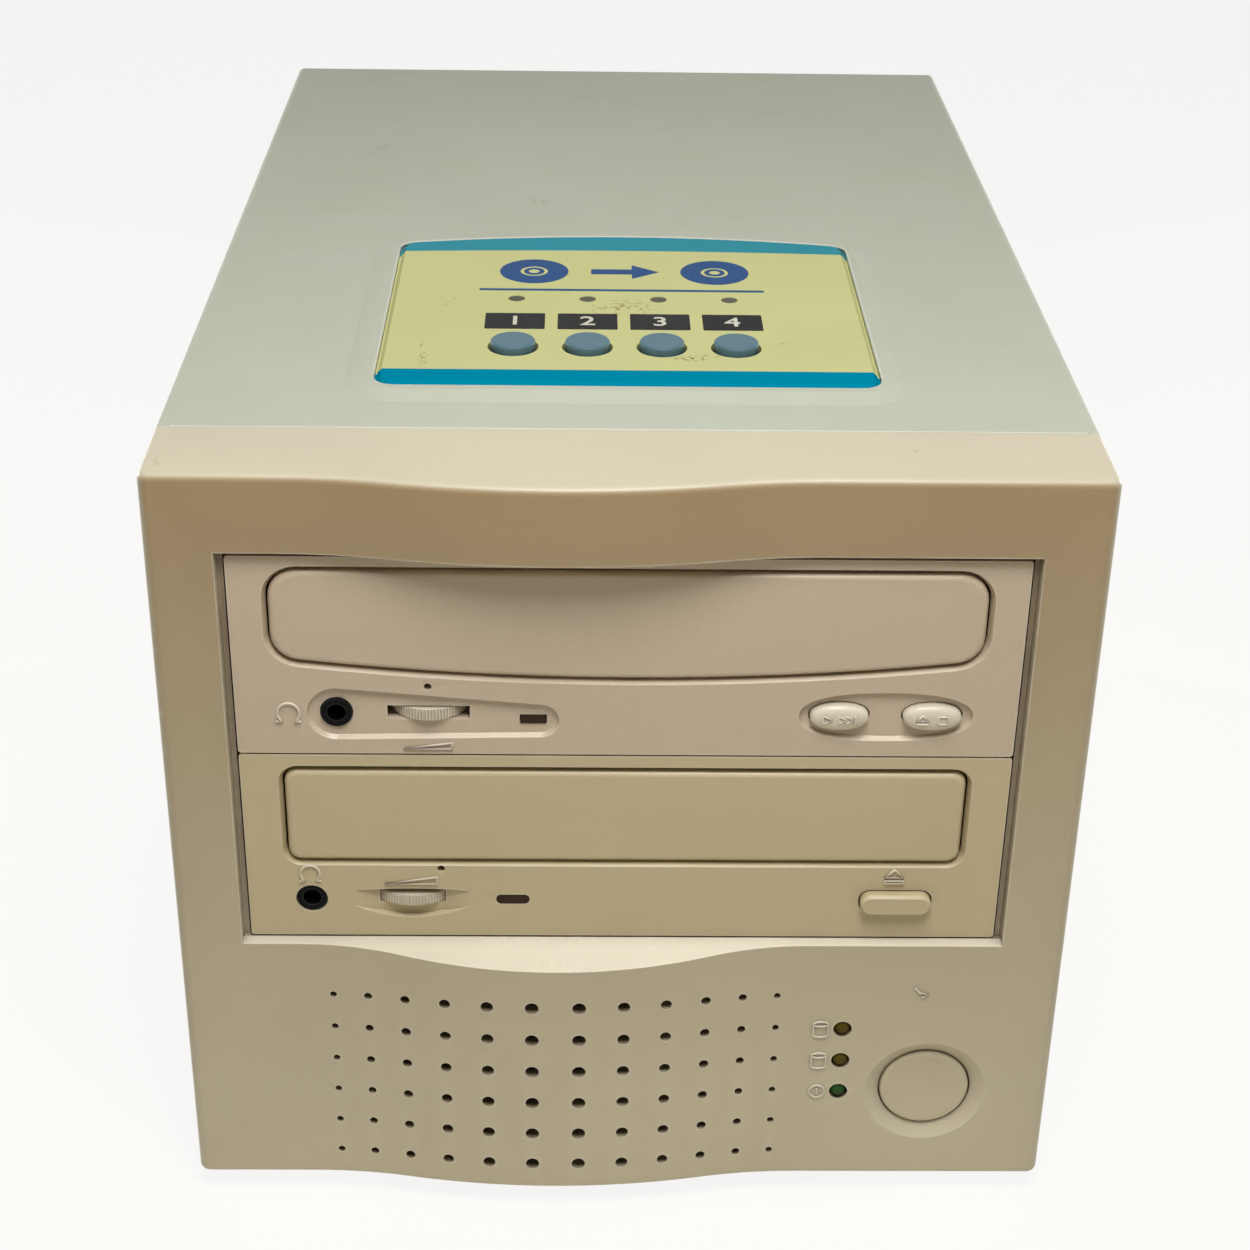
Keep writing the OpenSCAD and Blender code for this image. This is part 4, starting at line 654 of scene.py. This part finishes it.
def stripes_finish(name, colours, pitch, start, groove_shade):
    """Flat cable: round wires side by side along X, each with its own colour, with painted shade in the
    hollows between them.
    """
    finish, tree, shader = new_finish(name)
    x = axes_of(tree, surface_place(tree))["X"]
    count = maths(tree, "DIVIDE", maths(tree, "SUBTRACT", x, start), pitch)
    whole = maths(tree, "DIVIDE", maths(tree, "FLOOR", count, 0), len(colours))
    ramp = add_node(tree, "ShaderNodeValToRGB")
    ramp.color_ramp.interpolation = "CONSTANT"
    while len(ramp.color_ramp.elements) < len(colours):
        ramp.color_ramp.elements.new(0.5)
    for i, (stop, colour) in enumerate(zip(ramp.color_ramp.elements, colours)):
        stop.position = max(0, (i - 0.5) / len(colours))
        stop.color = (*colour, 1)
    join(tree, maths(tree, "FRACT", whole, 0), ramp.inputs[0])
    across = maths(tree, "ABSOLUTE", maths(tree, "SUBTRACT", maths(tree, "FRACT", count, 0), 0.5), 0)
    dip = spread(tree, across, 0.32, 0.5, 0, 1)
    grained = place_group(tree, "Surface grain", Fineness=1100, Mottle=0.06)
    toned = shaded(tree, ramp.outputs[0], grained["Shade"])
    # Painted shade darkens the hollows between the wires.
    groove_shaded = blend_colour(tree, product(tree, dip, groove_shade), toned, (0.01, 0.01, 0.01))
    join(tree, groove_shaded, shader.inputs["Base Color"])
    join(tree, grain_rough(tree, grained, 0.38, 0.5), shader.inputs["Roughness"])
    bump(tree, maths(tree, "SUBTRACT", 1, dip), 0.6, 0.0004, shader)
    return finish


def printed_film(name):
    """Keypad film: yellow field with blue bands at the front and the rear, and scuffs."""
    colours = bpy.context.scene.duplicator_colours
    sizes = bpy.context.scene.duplicator_sizes
    finish, tree, shader = new_finish(name)
    low, high = keypad_field()
    axes = axes_of(tree, surface_place(tree))
    front = low.y + sizes.band_front
    rear = high.y - sizes.band_rear
    blur = 0.00008
    grained = place_group(tree, "Surface grain", Fineness=1500, Mottle=0.035)
    shade = grained["Shade"]
    # The field gets brighter towards the rear.
    brighter_to_rear = spread(tree, axes["Y"], low.y, high.y, 0.94, 1.05)
    field = shaded(tree, colours.film, product(tree, shade, brighter_to_rear))
    share = maths(tree, "DIVIDE", axes["X"], (high.x - low.x) / 2)
    sag = product(tree, share, share, sizes.band_sag)
    bowed = maths(tree, "ADD", axes["Y"], sag)
    first = spread(tree, axes["Y"], front + blur, front - blur, 0, 1)
    last = spread(tree, bowed, rear - blur, rear + blur, 0, 1)
    banded = blend_colour(tree, first, field, shaded(tree, colours.band, shade))
    shown = blend_colour(tree, last, banded, shaded(tree, colours.faded, shade))
    height = 168.5
    marks = (
        ((-40.4, -81, height), (1.3, 4.5, 3), 1500, screen(40, 34, 20)),
        ((-41.2, -73, height), (0.6, 2.6, 3), 1500, screen(52, 46, 26)),
        ((12.5, -79.8, height), (4.5, 1.8, 3), 1300, screen(84, 78, 42)),
        ((18, -78, height), (4, 1.2, 3), 1100, screen(150, 142, 88)),
        ((0, -52, height), (9, 6, 3), 900, screen(168, 162, 104)),
        ((31, -72, height), (3, 1.6, 3), 900, screen(176, 170, 112)),
        ((-37, -49, height), (2, 4, 3), 900, screen(188, 184, 122)),
    )
    join(tree, scuffed(tree, shown, marks), shader.inputs["Base Color"])
    join(tree, grain_rough(tree, grained, 0.3, 0.4), shader.inputs["Roughness"])
    shader.inputs["Specular IOR Level"].default_value = 0
    bump(tree, grained["Height"], 0.04, 0.0002, shader)
    return finish


def keypad_field():
    """Lowest and highest corner of the keypad's raised plate, which is narrower than its flange."""
    low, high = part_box("control_panel")
    rim = 0.0022
    return Vector((low.x + rim, low.y + rim, high.z)), Vector((high.x - rim, high.y - rim, high.z))


# Dressing the solids


def even_surface_group():
    """Joins a solid's facets and shades them smooth up to an angle."""
    name = "Even surface"
    if name in bpy.data.node_groups:
        return bpy.data.node_groups[name]
    tree = bpy.data.node_groups.new(name, "GeometryNodeTree")
    add_socket(tree, "Geometry", "INPUT", "NodeSocketGeometry")
    add_socket(tree, "Sharp Angle", "INPUT", "NodeSocketFloat", math.radians(32))
    add_socket(tree, "Geometry", "OUTPUT", "NodeSocketGeometry")
    given = add_node(tree, "NodeGroupInput")
    result = add_node(tree, "NodeGroupOutput")
    plain = add_node(tree, "GeometryNodeRemoveAttribute")
    plain.inputs["Name"].default_value = "custom_normal"
    merged = add_node(tree, "GeometryNodeMergeByDistance")
    merged.inputs["Distance"].default_value = 0.000004
    smooth = add_node(tree, "GeometryNodeSetShadeSmooth", domain="FACE")
    angle = add_node(tree, "GeometryNodeInputMeshEdgeAngle")
    steep = add_node(tree, "FunctionNodeCompare", data_type="FLOAT", operation="GREATER_THAN")
    sharp = add_node(tree, "GeometryNodeSetShadeSmooth", domain="EDGE")
    sharp.inputs["Shade Smooth"].default_value = False
    join(tree, angle.outputs["Unsigned Angle"], steep.inputs[0])
    join(tree, given.outputs["Sharp Angle"], steep.inputs[1])
    join(tree, steep.outputs["Result"], sharp.inputs["Selection"])
    chain = (given, plain, merged, smooth, sharp, result)
    for start, end in zip(chain, chain[1:]):
        join(tree, start.outputs["Geometry"], end.inputs["Geometry"])
    return tree


def smooth_facets(*nodes, angle=32):
    """Joins facets and shades them smooth up to an angle in degrees."""
    for name in nodes:
        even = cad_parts[name].modifiers.new("Even surface", "NODES")
        even.node_group = even_surface_group()
        even["Socket_1"] = math.radians(angle)


def dress(finish, *nodes, edge=0.0):
    """Gives solids a finish and, with an edge, joined facets and rounded edges."""
    for name in nodes:
        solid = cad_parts[name]
        for place in solid.material_slots:
            place.material = finish
        if edge > 0:
            smooth_facets(name)
            rounded = solid.modifiers.new("Rounded edges", "BEVEL")
            rounded.width = edge
            rounded.segments = 2
            rounded.limit_method = "ANGLE"
            rounded.angle_limit = math.radians(38)
            flat = solid.modifiers.new("Flat faces", "WEIGHTED_NORMAL")
            flat.weight = 80


# Operators, one for each group of pieces


class DUPLICATOR_OT_stage(bpy.types.Operator):
    """Pale floor, soft lamps and the camera"""

    bl_idname = "duplicator.stage"
    bl_label = "Stage"

    def execute(self, context):
        values = context.scene.duplicator_stage
        context.scene.view_settings.view_transform = "Standard"
        self.floor(context, values)
        self.world(context, values)
        key = values.key_power
        fill = values.fill_power
        side = values.side_power
        lamps = (
            ("Key lamp", key, (1, 0.985, 0.95), 0.3, 180, (0.03, -0.36, 0.69), (0, -0.1, 0.1)),
            ("Fill lamp", fill, (1, 0.86, 0.66), 0.8, 180, (-0.15, -1.25, 0.42), (0, -0.1, 0.09)),
            ("Left lamp", side, (1, 0.97, 0.92), 0.12, 60, (-0.9, 0.7, 0.13), (0, 0.02, 0.08)),
            ("Right lamp", side, (1, 0.97, 0.92), 0.12, 60, (0.9, 0.7, 0.13), (0, 0.02, 0.08)),
        )
        for name, power, colour, size, beam, place, target in lamps:
            self.lamp(context, name, power, colour, size, beam, place, target)
        self.camera(context, values)
        return {"FINISHED"}

    def floor(self, context, values):
        """Wide floor that shows mostly white where it is looked at, and keeps the tower's shadow."""
        reach = 6
        corners = [(-reach, -reach, 0), (reach, -reach, 0), (reach, reach, 0), (-reach, reach, 0)]
        mesh = bpy.data.meshes.new("Floor")
        mesh.from_pydata(corners, [], [(0, 1, 2, 3)])
        floor = bpy.data.objects.new("Floor", mesh)
        context.scene.collection.objects.link(floor)
        finish, tree, shader = new_finish("Pale floor")
        shader.inputs["Roughness"].default_value = 0.9
        shader.inputs["Specular IOR Level"].default_value = 0.1
        drift = noise(tree, surface_place(tree), 2.5, 3, 0.5)
        tone = shaded(tree, values.floor, spread(tree, drift, 0.3, 0.7, 0.985, 1.0))
        join(tree, tone, shader.inputs["Base Color"])
        glow = add_node(tree, "ShaderNodeEmission")
        glow.inputs["Strength"].default_value = values.white
        hidden = product(tree, self.covered(tree), values.glow)
        clear = maths(tree, "SUBTRACT", values.glow, hidden)
        mixed = add_node(tree, "ShaderNodeMixShader")
        join(tree, product(tree, self.seen(tree), clear), mixed.inputs[0])
        join(tree, shader.outputs[0], mixed.inputs[1])
        join(tree, glow.outputs[0], mixed.inputs[2])
        join(tree, mixed.outputs[0], tree.nodes["Material Output"].inputs["Surface"])
        mesh.materials.append(finish)

    def seen(self, tree):
        """One for rays that look at the stage, straight, in a reflection or through a lens."""
        path = add_node(tree, "ShaderNodeLightPath").outputs
        looked = maths(tree, "MAXIMUM", path["Is Camera Ray"], path["Is Glossy Ray"])
        return maths(tree, "MAXIMUM", looked, path["Is Transmission Ray"])

    def covered(self, tree):
        """Mask of the floor well under the tower, where no light reaches."""
        axes = axes_of(tree, surface_place(tree))
        inset = 0.02
        blur = 0.001
        mask = 1
        for axis, name in enumerate("XY"):
            edge = CAD_BOX[1][axis] - inset
            away = maths(tree, "ABSOLUTE", axes[name], 0)
            mask = product(tree, spread(tree, away, edge - blur, edge, 1, 0), mask)
        return mask

    def world(self, context, values):
        """Warm even light, with a white backdrop where it is looked at."""
        world = bpy.data.worlds.new("Studio")
        context.scene.world = world
        world.use_nodes = True
        tree = world.node_tree
        back = tree.nodes["Background"]
        seen = self.seen(tree)
        warm = (1, 0.86, 0.68)
        join(tree, blend_colour(tree, seen, warm, (1, 1, 1)), back.inputs["Color"])
        join(tree, spread(tree, seen, 0, 1, values.ambient, values.backdrop), back.inputs["Strength"])

    def lamp(self, context, name, power, colour, size, beam, place, target):
        """Round lamp at a place, turned to a target, with a beam so many degrees wide."""
        light = bpy.data.lights.new(name, "AREA")
        light.shape = "DISK"
        light.size = size
        light.energy = power
        light.color = colour
        light.spread = math.radians(beam)
        lamp = bpy.data.objects.new(name, light)
        lamp.location = place
        lamp.rotation_euler = (Vector(target) - Vector(place)).to_track_quat("-Z", "Y").to_euler()
        context.scene.collection.objects.link(lamp)

    def camera(self, context, values):
        """Camera of the photograph."""
        yaw, pitch, roll = values.turn
        look = Vector((math.sin(yaw) * math.cos(pitch), math.cos(yaw) * math.cos(pitch), -math.sin(pitch)))
        across = Vector((math.cos(yaw), -math.sin(yaw), 0))
        up = across.cross(look)
        right = across * math.cos(roll) + up * math.sin(roll)
        top = up * math.cos(roll) - across * math.sin(roll)
        turned = Matrix((right, top, -look)).transposed().to_4x4()
        data = bpy.data.cameras.new("Photograph")
        data.sensor_width = 36
        data.lens = values.lens
        data.clip_start = 0.01
        camera = bpy.data.objects.new("Photograph", data)
        camera.matrix_world = Matrix.Translation(values.place) @ turned
        context.scene.collection.objects.link(camera)
        context.scene.camera = camera


class DUPLICATOR_OT_case(bpy.types.Operator):
    """Moulded front, painted cover, pan, rear panel, bay plates, feet and screws"""

    bl_idname = "duplicator.case"
    bl_label = "Case"

    def execute(self, context):
        colours = context.scene.duplicator_colours
        sizes = context.scene.duplicator_sizes
        dark = screen(120, 104, 76)
        front = moulded(
            "Ivory moulding",
            colours.ivory,
            # Painted warm shade on front faces, from 30 mm up to full at 165 mm.
            front_shade=(30, 165, (0.62, 0.49, 0.36)),
            scuffs=(
                ((-3, -136, 167), (0.7, 0.6, 1), 300, dark),
                ((52.6, -120, 167), (0.6, 0.6, 1), 300, dark),
                ((-86.2, -127, 167), (2.2, 2.6, 2), 900, screen(170, 154, 120)),
                ((85.4, -111, 166.5), (2.4, 1.2, 2), 900, dark),
                ((-87.6, -130, 120), (1.5, 3, 50), 500, screen(236, 230, 212)),
            ),
        )
        cover = moulded(
            "Cover paint",
            colours.cover,
            scuffs=(
                ((-19.3, 22.4, 168), (4, 5, 4), 520, screen(176, 174, 154)),
                ((40, 96, 168), (6, 9, 4), 420, screen(186, 186, 168)),
                ((-60, 60, 168), (5, 8, 4), 420, screen(188, 188, 170)),
            ),
        )
        dress(front, "front_bezel")
        smooth_facets("front_bezel", angle=22)
        dress(cover, "top_cover")
        smooth_facets("top_cover", angle=14)
        # Paler cover paint for the hem and the lip: abraded paint, and a painted highlight.
        rubbed_and_highlit = moulded("Rubbed cover edge", lighter(colours.cover, 0.16))
        self.hem(sizes, rubbed_and_highlit)
        dress(zinc_plate(), "base_pan", "rear_panel", "bay_plates")
        dress(bright_steel(), "cover_screws", "drive_screws")
        dress(moulded("Foot rubber", colours.rubber), "rubber_feet")
        return {"FINISHED"}

    def hem(self, sizes, finish):
        """Rolled front edge of the cover, along the seam with the moulded front, in paler paint that is
        partly abraded and partly a painted highlight.
        """
        low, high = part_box("top_cover")
        short = 0.003
        steps = 40
        end = high.x - short
        y = low.y + sizes.hem
        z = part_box("front_bezel")[1].z
        line = [(-end + 2 * end * i / steps, y, z) for i in range(steps + 1)]
        thin_tube("cover_hem", [(False, line)], "case", finish, sizes.hem)


class DUPLICATOR_OT_keypad(bpy.types.Operator):
    """Printed keypad with its keys, plates, numbers and disc signs"""

    bl_idname = "duplicator.keypad"
    bl_label = "Keypad"

    def execute(self, context):
        colours = context.scene.duplicator_colours
        sizes = context.scene.duplicator_sizes
        dress(printed_film("Keypad film"), "control_panel")
        smooth_facets("control_panel")
        keys = ["copy_button_%d" % k for k in (1, 2, 3, 4)]
        dress(moulded("Key plastic", colours.key), *keys)
        dress(lens_finish("Keypad lamp", colours.dot, rough=0.4), "panel_lamps")
        ink = moulded("Sign ink", colours.ink)
        plate = moulded("Plate ink", colours.plate)
        numeral = moulded("Number ink", colours.numeral)
        top = keypad_field()[1].z
        sunk = 0.0003
        low = top - sunk
        high = top + sizes.ink_height
        for k, key in enumerate(keys, 1):
            start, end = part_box(key)
            x = (start.x + end.x) / 2
            y = (start.y + end.y) / 2 + sizes.plate_back
            shape = round_rect(x, y, sizes.plate_width, sizes.plate_depth, radius=0.0003, count=2)
            slab("key_plate_%d" % k, [[shape]], low, high, "case", plate)
            self.number("key_number_%d" % k, str(k), sizes.number, (x, y, high), numeral)
        self.discs(sizes, low, high, ink)
        self.lip(sizes)
        return {"FINISHED"}

    def lip(self, sizes):
        """Pressed lip of the cover beside and behind the keypad's window, with its bowed rear edge, in the
        same paler paint, partly abraded and partly a painted highlight.
        """
        low, high = keypad_field()
        gap = 0.0004
        steps = 24
        out = gap + sizes.lip
        r = sizes.corner + out
        x = (low.x + high.x) / 2
        half = (high.x - low.x) / 2 + out - r
        front = low.y - out + r
        back = high.y - sizes.bow + out - r
        lean = math.degrees(math.atan(2 * sizes.bow / half))
        points = [(x + half + r, front)] + arc(x + half, back, r, r, 0, 90 - lean, 8)
        start = points[-1]
        for i in range(1, steps):
            t = 1 - 2 * i / steps
            points.append((x + (start[0] - x) * t, start[1] + sizes.bow * (1 - t * t)))
        points += arc(x - half, back, r, r, 90 + lean, 180, 8) + [(x - half - r, front)]
        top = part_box("top_cover")[1].z - 0.4 * sizes.lip
        placed = [(px, py, top) for px, py in points]
        finish = bpy.data.materials["Rubbed cover edge"]
        thin_tube("keypad_lip", [(False, placed)], "case", finish, sizes.lip)

    def number(self, name, text, size, place, finish):
        """One plain number, as a thin printed layer."""
        curve = bpy.data.curves.new(name, "FONT")
        curve.body = text
        curve.size = size
        curve.align_x = "CENTER"
        curve.align_y = "CENTER"
        curve.extrude = 0.00004
        curve.offset = 0.00008
        made = bpy.data.objects.new(name, curve)
        mesh = bpy.data.meshes.new_from_object(made)
        bpy.data.objects.remove(made)
        mesh.name = name
        mesh.materials.clear()
        mesh.transform(Matrix.Translation(place))
        link_piece(name, mesh, "case", finish)

    def discs(self, sizes, low, high, finish):
        """Two discs and an arrow between them, over a thin rule."""
        y = -0.0305
        apart = 0.0195
        r = sizes.disc_radius
        shapes = []
        for x in (-apart, apart):
            shapes.append([ring(x, y, r), ring(x, y, r * 0.4)])
            shapes.append([ring(x, y, r * 0.3), ring(x, y, r * 0.16, 32)])
        arrow = [(-7.2, -1.5), (1.6, -1.5), (1.6, -4.2), (7.4, 0), (1.6, 4.2), (1.6, 1.5), (-7.2, 1.5)]
        shapes.append([[(px * MM, y + py * MM) for px, py in arrow]])
        rule = round_rect(x=-0.0007, y=-0.0418, width=0.0605, depth=0.0011, radius=0.0004, count=3)
        shapes.append([rule])
        slab("disc_signs", shapes, low, high, "case", finish)


class DUPLICATOR_OT_drive_faces(bpy.types.Operator):
    """Faces, doors, wheels, buttons and jacks of the two drives, and the power button"""

    bl_idname = "duplicator.drive_faces"
    bl_label = "Drive faces"

    def execute(self, context):
        colours = context.scene.duplicator_colours
        sizes = context.scene.duplicator_sizes
        upper = moulded("Upper drive plastic", colours.reader)
        lower = moulded("Lower drive plastic", colours.writer)
        pale = moulded("Pale button plastic", colours.button)
        dress(upper, "reader_face", "reader_door", edge=sizes.edge)
        dress(lower, "writer_face", "writer_door", edge=sizes.edge)
        dress(pale, "reader_wheel", "writer_wheel", "reader_play_button", "reader_eject_button")
        dress(lower, "writer_eject_button")
        dress(moulded("Power button plastic", colours.ivory), "power_button")
        dress(moulded("Jack plastic", colours.jack), "headphone_jacks")
        smooth_facets("reader_play_button", "reader_eject_button", "writer_eject_button")
        return {"FINISHED"}


class DUPLICATOR_OT_lamps(bpy.types.Operator):
    """Lamps of the front and the drives"""

    bl_idname = "duplicator.lamps"
    bl_label = "Lamps"

    def execute(self, context):
        colours = context.scene.duplicator_colours
        dress(lens_finish("Amber lens", colours.amber), "disc_lamps")
        dress(lens_finish("Green lens", colours.green), "power_lamp")
        dress(lens_finish("Drive lamp lens", colours.lens), "reader_lamp", "writer_lamp")
        return {"FINISHED"}


class DUPLICATOR_OT_signs(bpy.types.Operator):
    """Raised signs moulded into the drive faces, the buttons and the front, painted lighter than their
    faces as a highlight
    """

    bl_idname = "duplicator.signs"
    bl_label = "Moulded signs"

    def execute(self, context):
        colours = context.scene.duplicator_colours
        line = context.scene.duplicator_sizes.sign_line
        # Signs are painted lighter than their faces, as a highlight.
        rubbed_and_highlit = 0.3
        upper = moulded("Upper sign plastic", lighter(colours.reader, rubbed_and_highlit))
        lower = moulded("Lower sign plastic", lighter(colours.writer, rubbed_and_highlit))
        front = moulded("Front sign plastic", lighter(colours.ivory, rubbed_and_highlit))
        pale = moulded("Button sign plastic", lighter(colours.button, rubbed_and_highlit))
        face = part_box("reader_door")[0].y - 0.4 * line
        eject = [
            (True, [(51.4, 80.2), (54.9, 80.2), (53.15, 82)]),
            (True, [(51.4, 78.8), (54.9, 78.8), (54.9, 79.4), (51.4, 79.4)]),
        ]
        signs = (
            ("reader_phones_sign", self.phones(-64, 117, 2.1), upper, "reader_plastic"),
            ("reader_volume_sign", self.wedge(-42.2, -33.3, 109.4, 110.7), upper, "reader_plastic"),
            ("writer_phones_sign", self.phones(-61.7, 80.4, 1.9), lower, "writer_plastic"),
            ("writer_volume_sign", self.wedge(-46.9, -36.9, 78.2, 79.8), lower, "writer_plastic"),
            ("writer_eject_sign", eject, lower, "writer_plastic"),
        )
        for name, lines, finish, slot in signs:
            raised_sign(name, lines, face, "case", finish, line)
        self.button_signs(pale, 0.7 * line)
        self.lamp_signs(front, line)
        return {"FINISHED"}

    def phones(self, x, z, r):
        """Headband with two small feet."""
        band = arc(x, z, r, r * 1.05, -52, 232)
        feet = [(band[0][0] + r * 0.5, band[0][1]), *band, (band[-1][0] - r * 0.5, band[-1][1])]
        return [(False, feet)]

    def wedge(self, left, right, low, high):
        """Rising wedge beside a volume wheel."""
        return [(True, [(left, low), (right, low), (right, high)])]

    def button_signs(self, finish, line):
        """Play and skip on one oval button, eject and stop on the other."""
        proud = 0.00005
        z = 116.9
        play = [
            (True, [(-3.2, -0.9), (-1.4, 0), (-3.2, 0.9)]),
            (True, [(-0.2, -0.8), (1.2, 0), (-0.2, 0.8)]),
            (True, [(1.2, -0.8), (2.6, 0), (1.2, 0.8)]),
            (False, [(3, -0.8), (3, 0.8)]),
        ]
        eject = [
            (True, [(-3.1, -0.1), (-0.9, -0.1), (-2, 1)]),
            (False, [(-3.1, -0.8), (-0.9, -0.8)]),
            (True, [(1, -0.8), (2.8, -0.8), (2.8, 0.8), (1, 0.8)]),
        ]
        signs = (
            ("reader_play_sign", "reader_play_button", play),
            ("reader_eject_sign", "reader_eject_button", eject),
        )
        for name, button, lines in signs:
            low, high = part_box(button)
            x = (low.x + high.x) / 2 / MM
            placed = [(closed, [(x + px, z + pz) for px, pz in points]) for closed, points in lines]
            raised_sign(name, placed, low.y - proud, button, finish, line)

    def lamp_signs(self, finish, line):
        """Two drums and a circle beside the lamps, and a tick above the power button."""
        lamp_proud = 0.0003
        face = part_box("power_lamp")[0].y + lamp_proud - 0.3 * line
        x = 40.5
        rx = 1.5
        rz = 0.6
        lines = []
        for z in (43.6, 35.55):
            top = z + 1.3
            lines.append((True, arc(x, top, rx, rz, 0, 360, 24)[:-1]))
            drum = [(x - rx, top), *arc(x, z - 1.4, rx, rz, 180, 360, 12), (x + rx, top)]
            lines.append((False, drum))
        lines.append((True, arc(x, 27.5, 1.55, 1.55, 0, 360, 28)[:-1]))
        lines.append((False, [(x, 26.7), (x, 28.3)]))
        lines.append((False, [(59, 54.2), (60.1, 52.9), (61.8, 52.6), (60.6, 51.7)]))
        raised_sign("lamp_signs", lines, face, "case", finish, 0.8 * line)


class DUPLICATOR_OT_drive_insides(bpy.types.Operator):
    """Cases, loaders, trays, gears, spindles and sleds of the drives"""

    bl_idname = "duplicator.drive_insides"
    bl_label = "Drive insides"

    def execute(self, context):
        colours = context.scene.duplicator_colours
        loader = moulded("Drawer plastic", colours.loader)
        milky = moulded("Gear plastic", colours.gear)
        spindle = plated("Spindle metal", colours.bright, rough=0.2, spangle=400)
        for drive in ("reader", "writer"):
            dress(zinc_plate(), drive + "_case", drive + "_lid")
            dress(loader, drive + "_loader", drive + "_tray", drive + "_sled")
            dress(milky, drive + "_gear")
            dress(spindle, drive + "_spindle")
        dress(bright_steel(), "guide_rods")
        return {"FINISHED"}


class DUPLICATOR_OT_case_insides(bpy.types.Operator):
    """Boards, cables, power supply, inlet and fan"""

    bl_idname = "duplicator.case_insides"
    bl_label = "Case insides"

    def execute(self, context):
        colours = context.scene.duplicator_colours
        boards = ["control_board", "front_board", "reader_board", "writer_board"]
        dress(board_finish("Circuit board", colours.board), *boards)
        black = moulded("Black plastic", colours.black)
        dress(black, "board_parts", "power_switch", "mains_inlet", "fan_frame", "fan_rotor")
        dress(zinc_plate(), "supply_case")
        dress(bright_steel(), "fan_guard", "fan_screws")
        dress(plated("Brass pins", colours.brass, rough=0.22, spangle=500), "inlet_pins")
        wires = [screen(176, 44, 40)] + [screen(158, 160, 162)] * 11
        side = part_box("ribbon_cable")[0].x
        ribbon = stripes_finish("Ribbon", wires, pitch=0.00127, start=side, groove_shade=0.45)
        dress(ribbon, "ribbon_cable")
        wires = [screen(214, 180, 40), screen(26, 26, 26), screen(26, 26, 26), screen(178, 34, 30)]
        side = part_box("power_lead")[0].x
        lead = stripes_finish("Power lead", wires, pitch=0.00225, start=side, groove_shade=0.8)
        dress(lead, "power_lead")
        return {"FINISHED"}


# Panel and registration


class DUPLICATOR_PT_panel(bpy.types.Panel):
    """Lists the operators and their values"""

    bl_idname = "DUPLICATOR_PT_panel"
    bl_label = "Disc duplicator"
    bl_space_type = "VIEW_3D"
    bl_region_type = "UI"
    bl_category = "Duplicator"

    def draw(self, context):
        column = self.layout.column()
        for operator in OPERATORS:
            column.operator(operator.bl_idname)
        for name in ("duplicator_colours", "duplicator_sizes", "duplicator_stage"):
            values = getattr(context.scene, name)
            box = self.layout.box()
            for key in values.__annotations__:
                box.prop(values, key)


OPERATORS = (
    DUPLICATOR_OT_stage,
    DUPLICATOR_OT_case,
    DUPLICATOR_OT_keypad,
    DUPLICATOR_OT_drive_faces,
    DUPLICATOR_OT_lamps,
    DUPLICATOR_OT_signs,
    DUPLICATOR_OT_drive_insides,
    DUPLICATOR_OT_case_insides,
)
CLASSES = (DuplicatorColours, DuplicatorSizes, DuplicatorStage, *OPERATORS, DUPLICATOR_PT_panel)


def register():
    for kind in CLASSES:
        bpy.utils.register_class(kind)
    bpy.types.Scene.duplicator_colours = bpy.props.PointerProperty(type=DuplicatorColours)
    bpy.types.Scene.duplicator_sizes = bpy.props.PointerProperty(type=DuplicatorSizes)
    bpy.types.Scene.duplicator_stage = bpy.props.PointerProperty(type=DuplicatorStage)


def unregister():
    del bpy.types.Scene.duplicator_stage
    del bpy.types.Scene.duplicator_sizes
    del bpy.types.Scene.duplicator_colours
    for kind in reversed(CLASSES):
        bpy.utils.unregister_class(kind)


def main():
    register()
    bpy.ops.duplicator.stage()
    bpy.ops.duplicator.case()
    bpy.ops.duplicator.keypad()
    bpy.ops.duplicator.drive_faces()
    bpy.ops.duplicator.lamps()
    bpy.ops.duplicator.signs()
    bpy.ops.duplicator.drive_insides()
    bpy.ops.duplicator.case_insides()


if __name__ == "__main__":
    main()
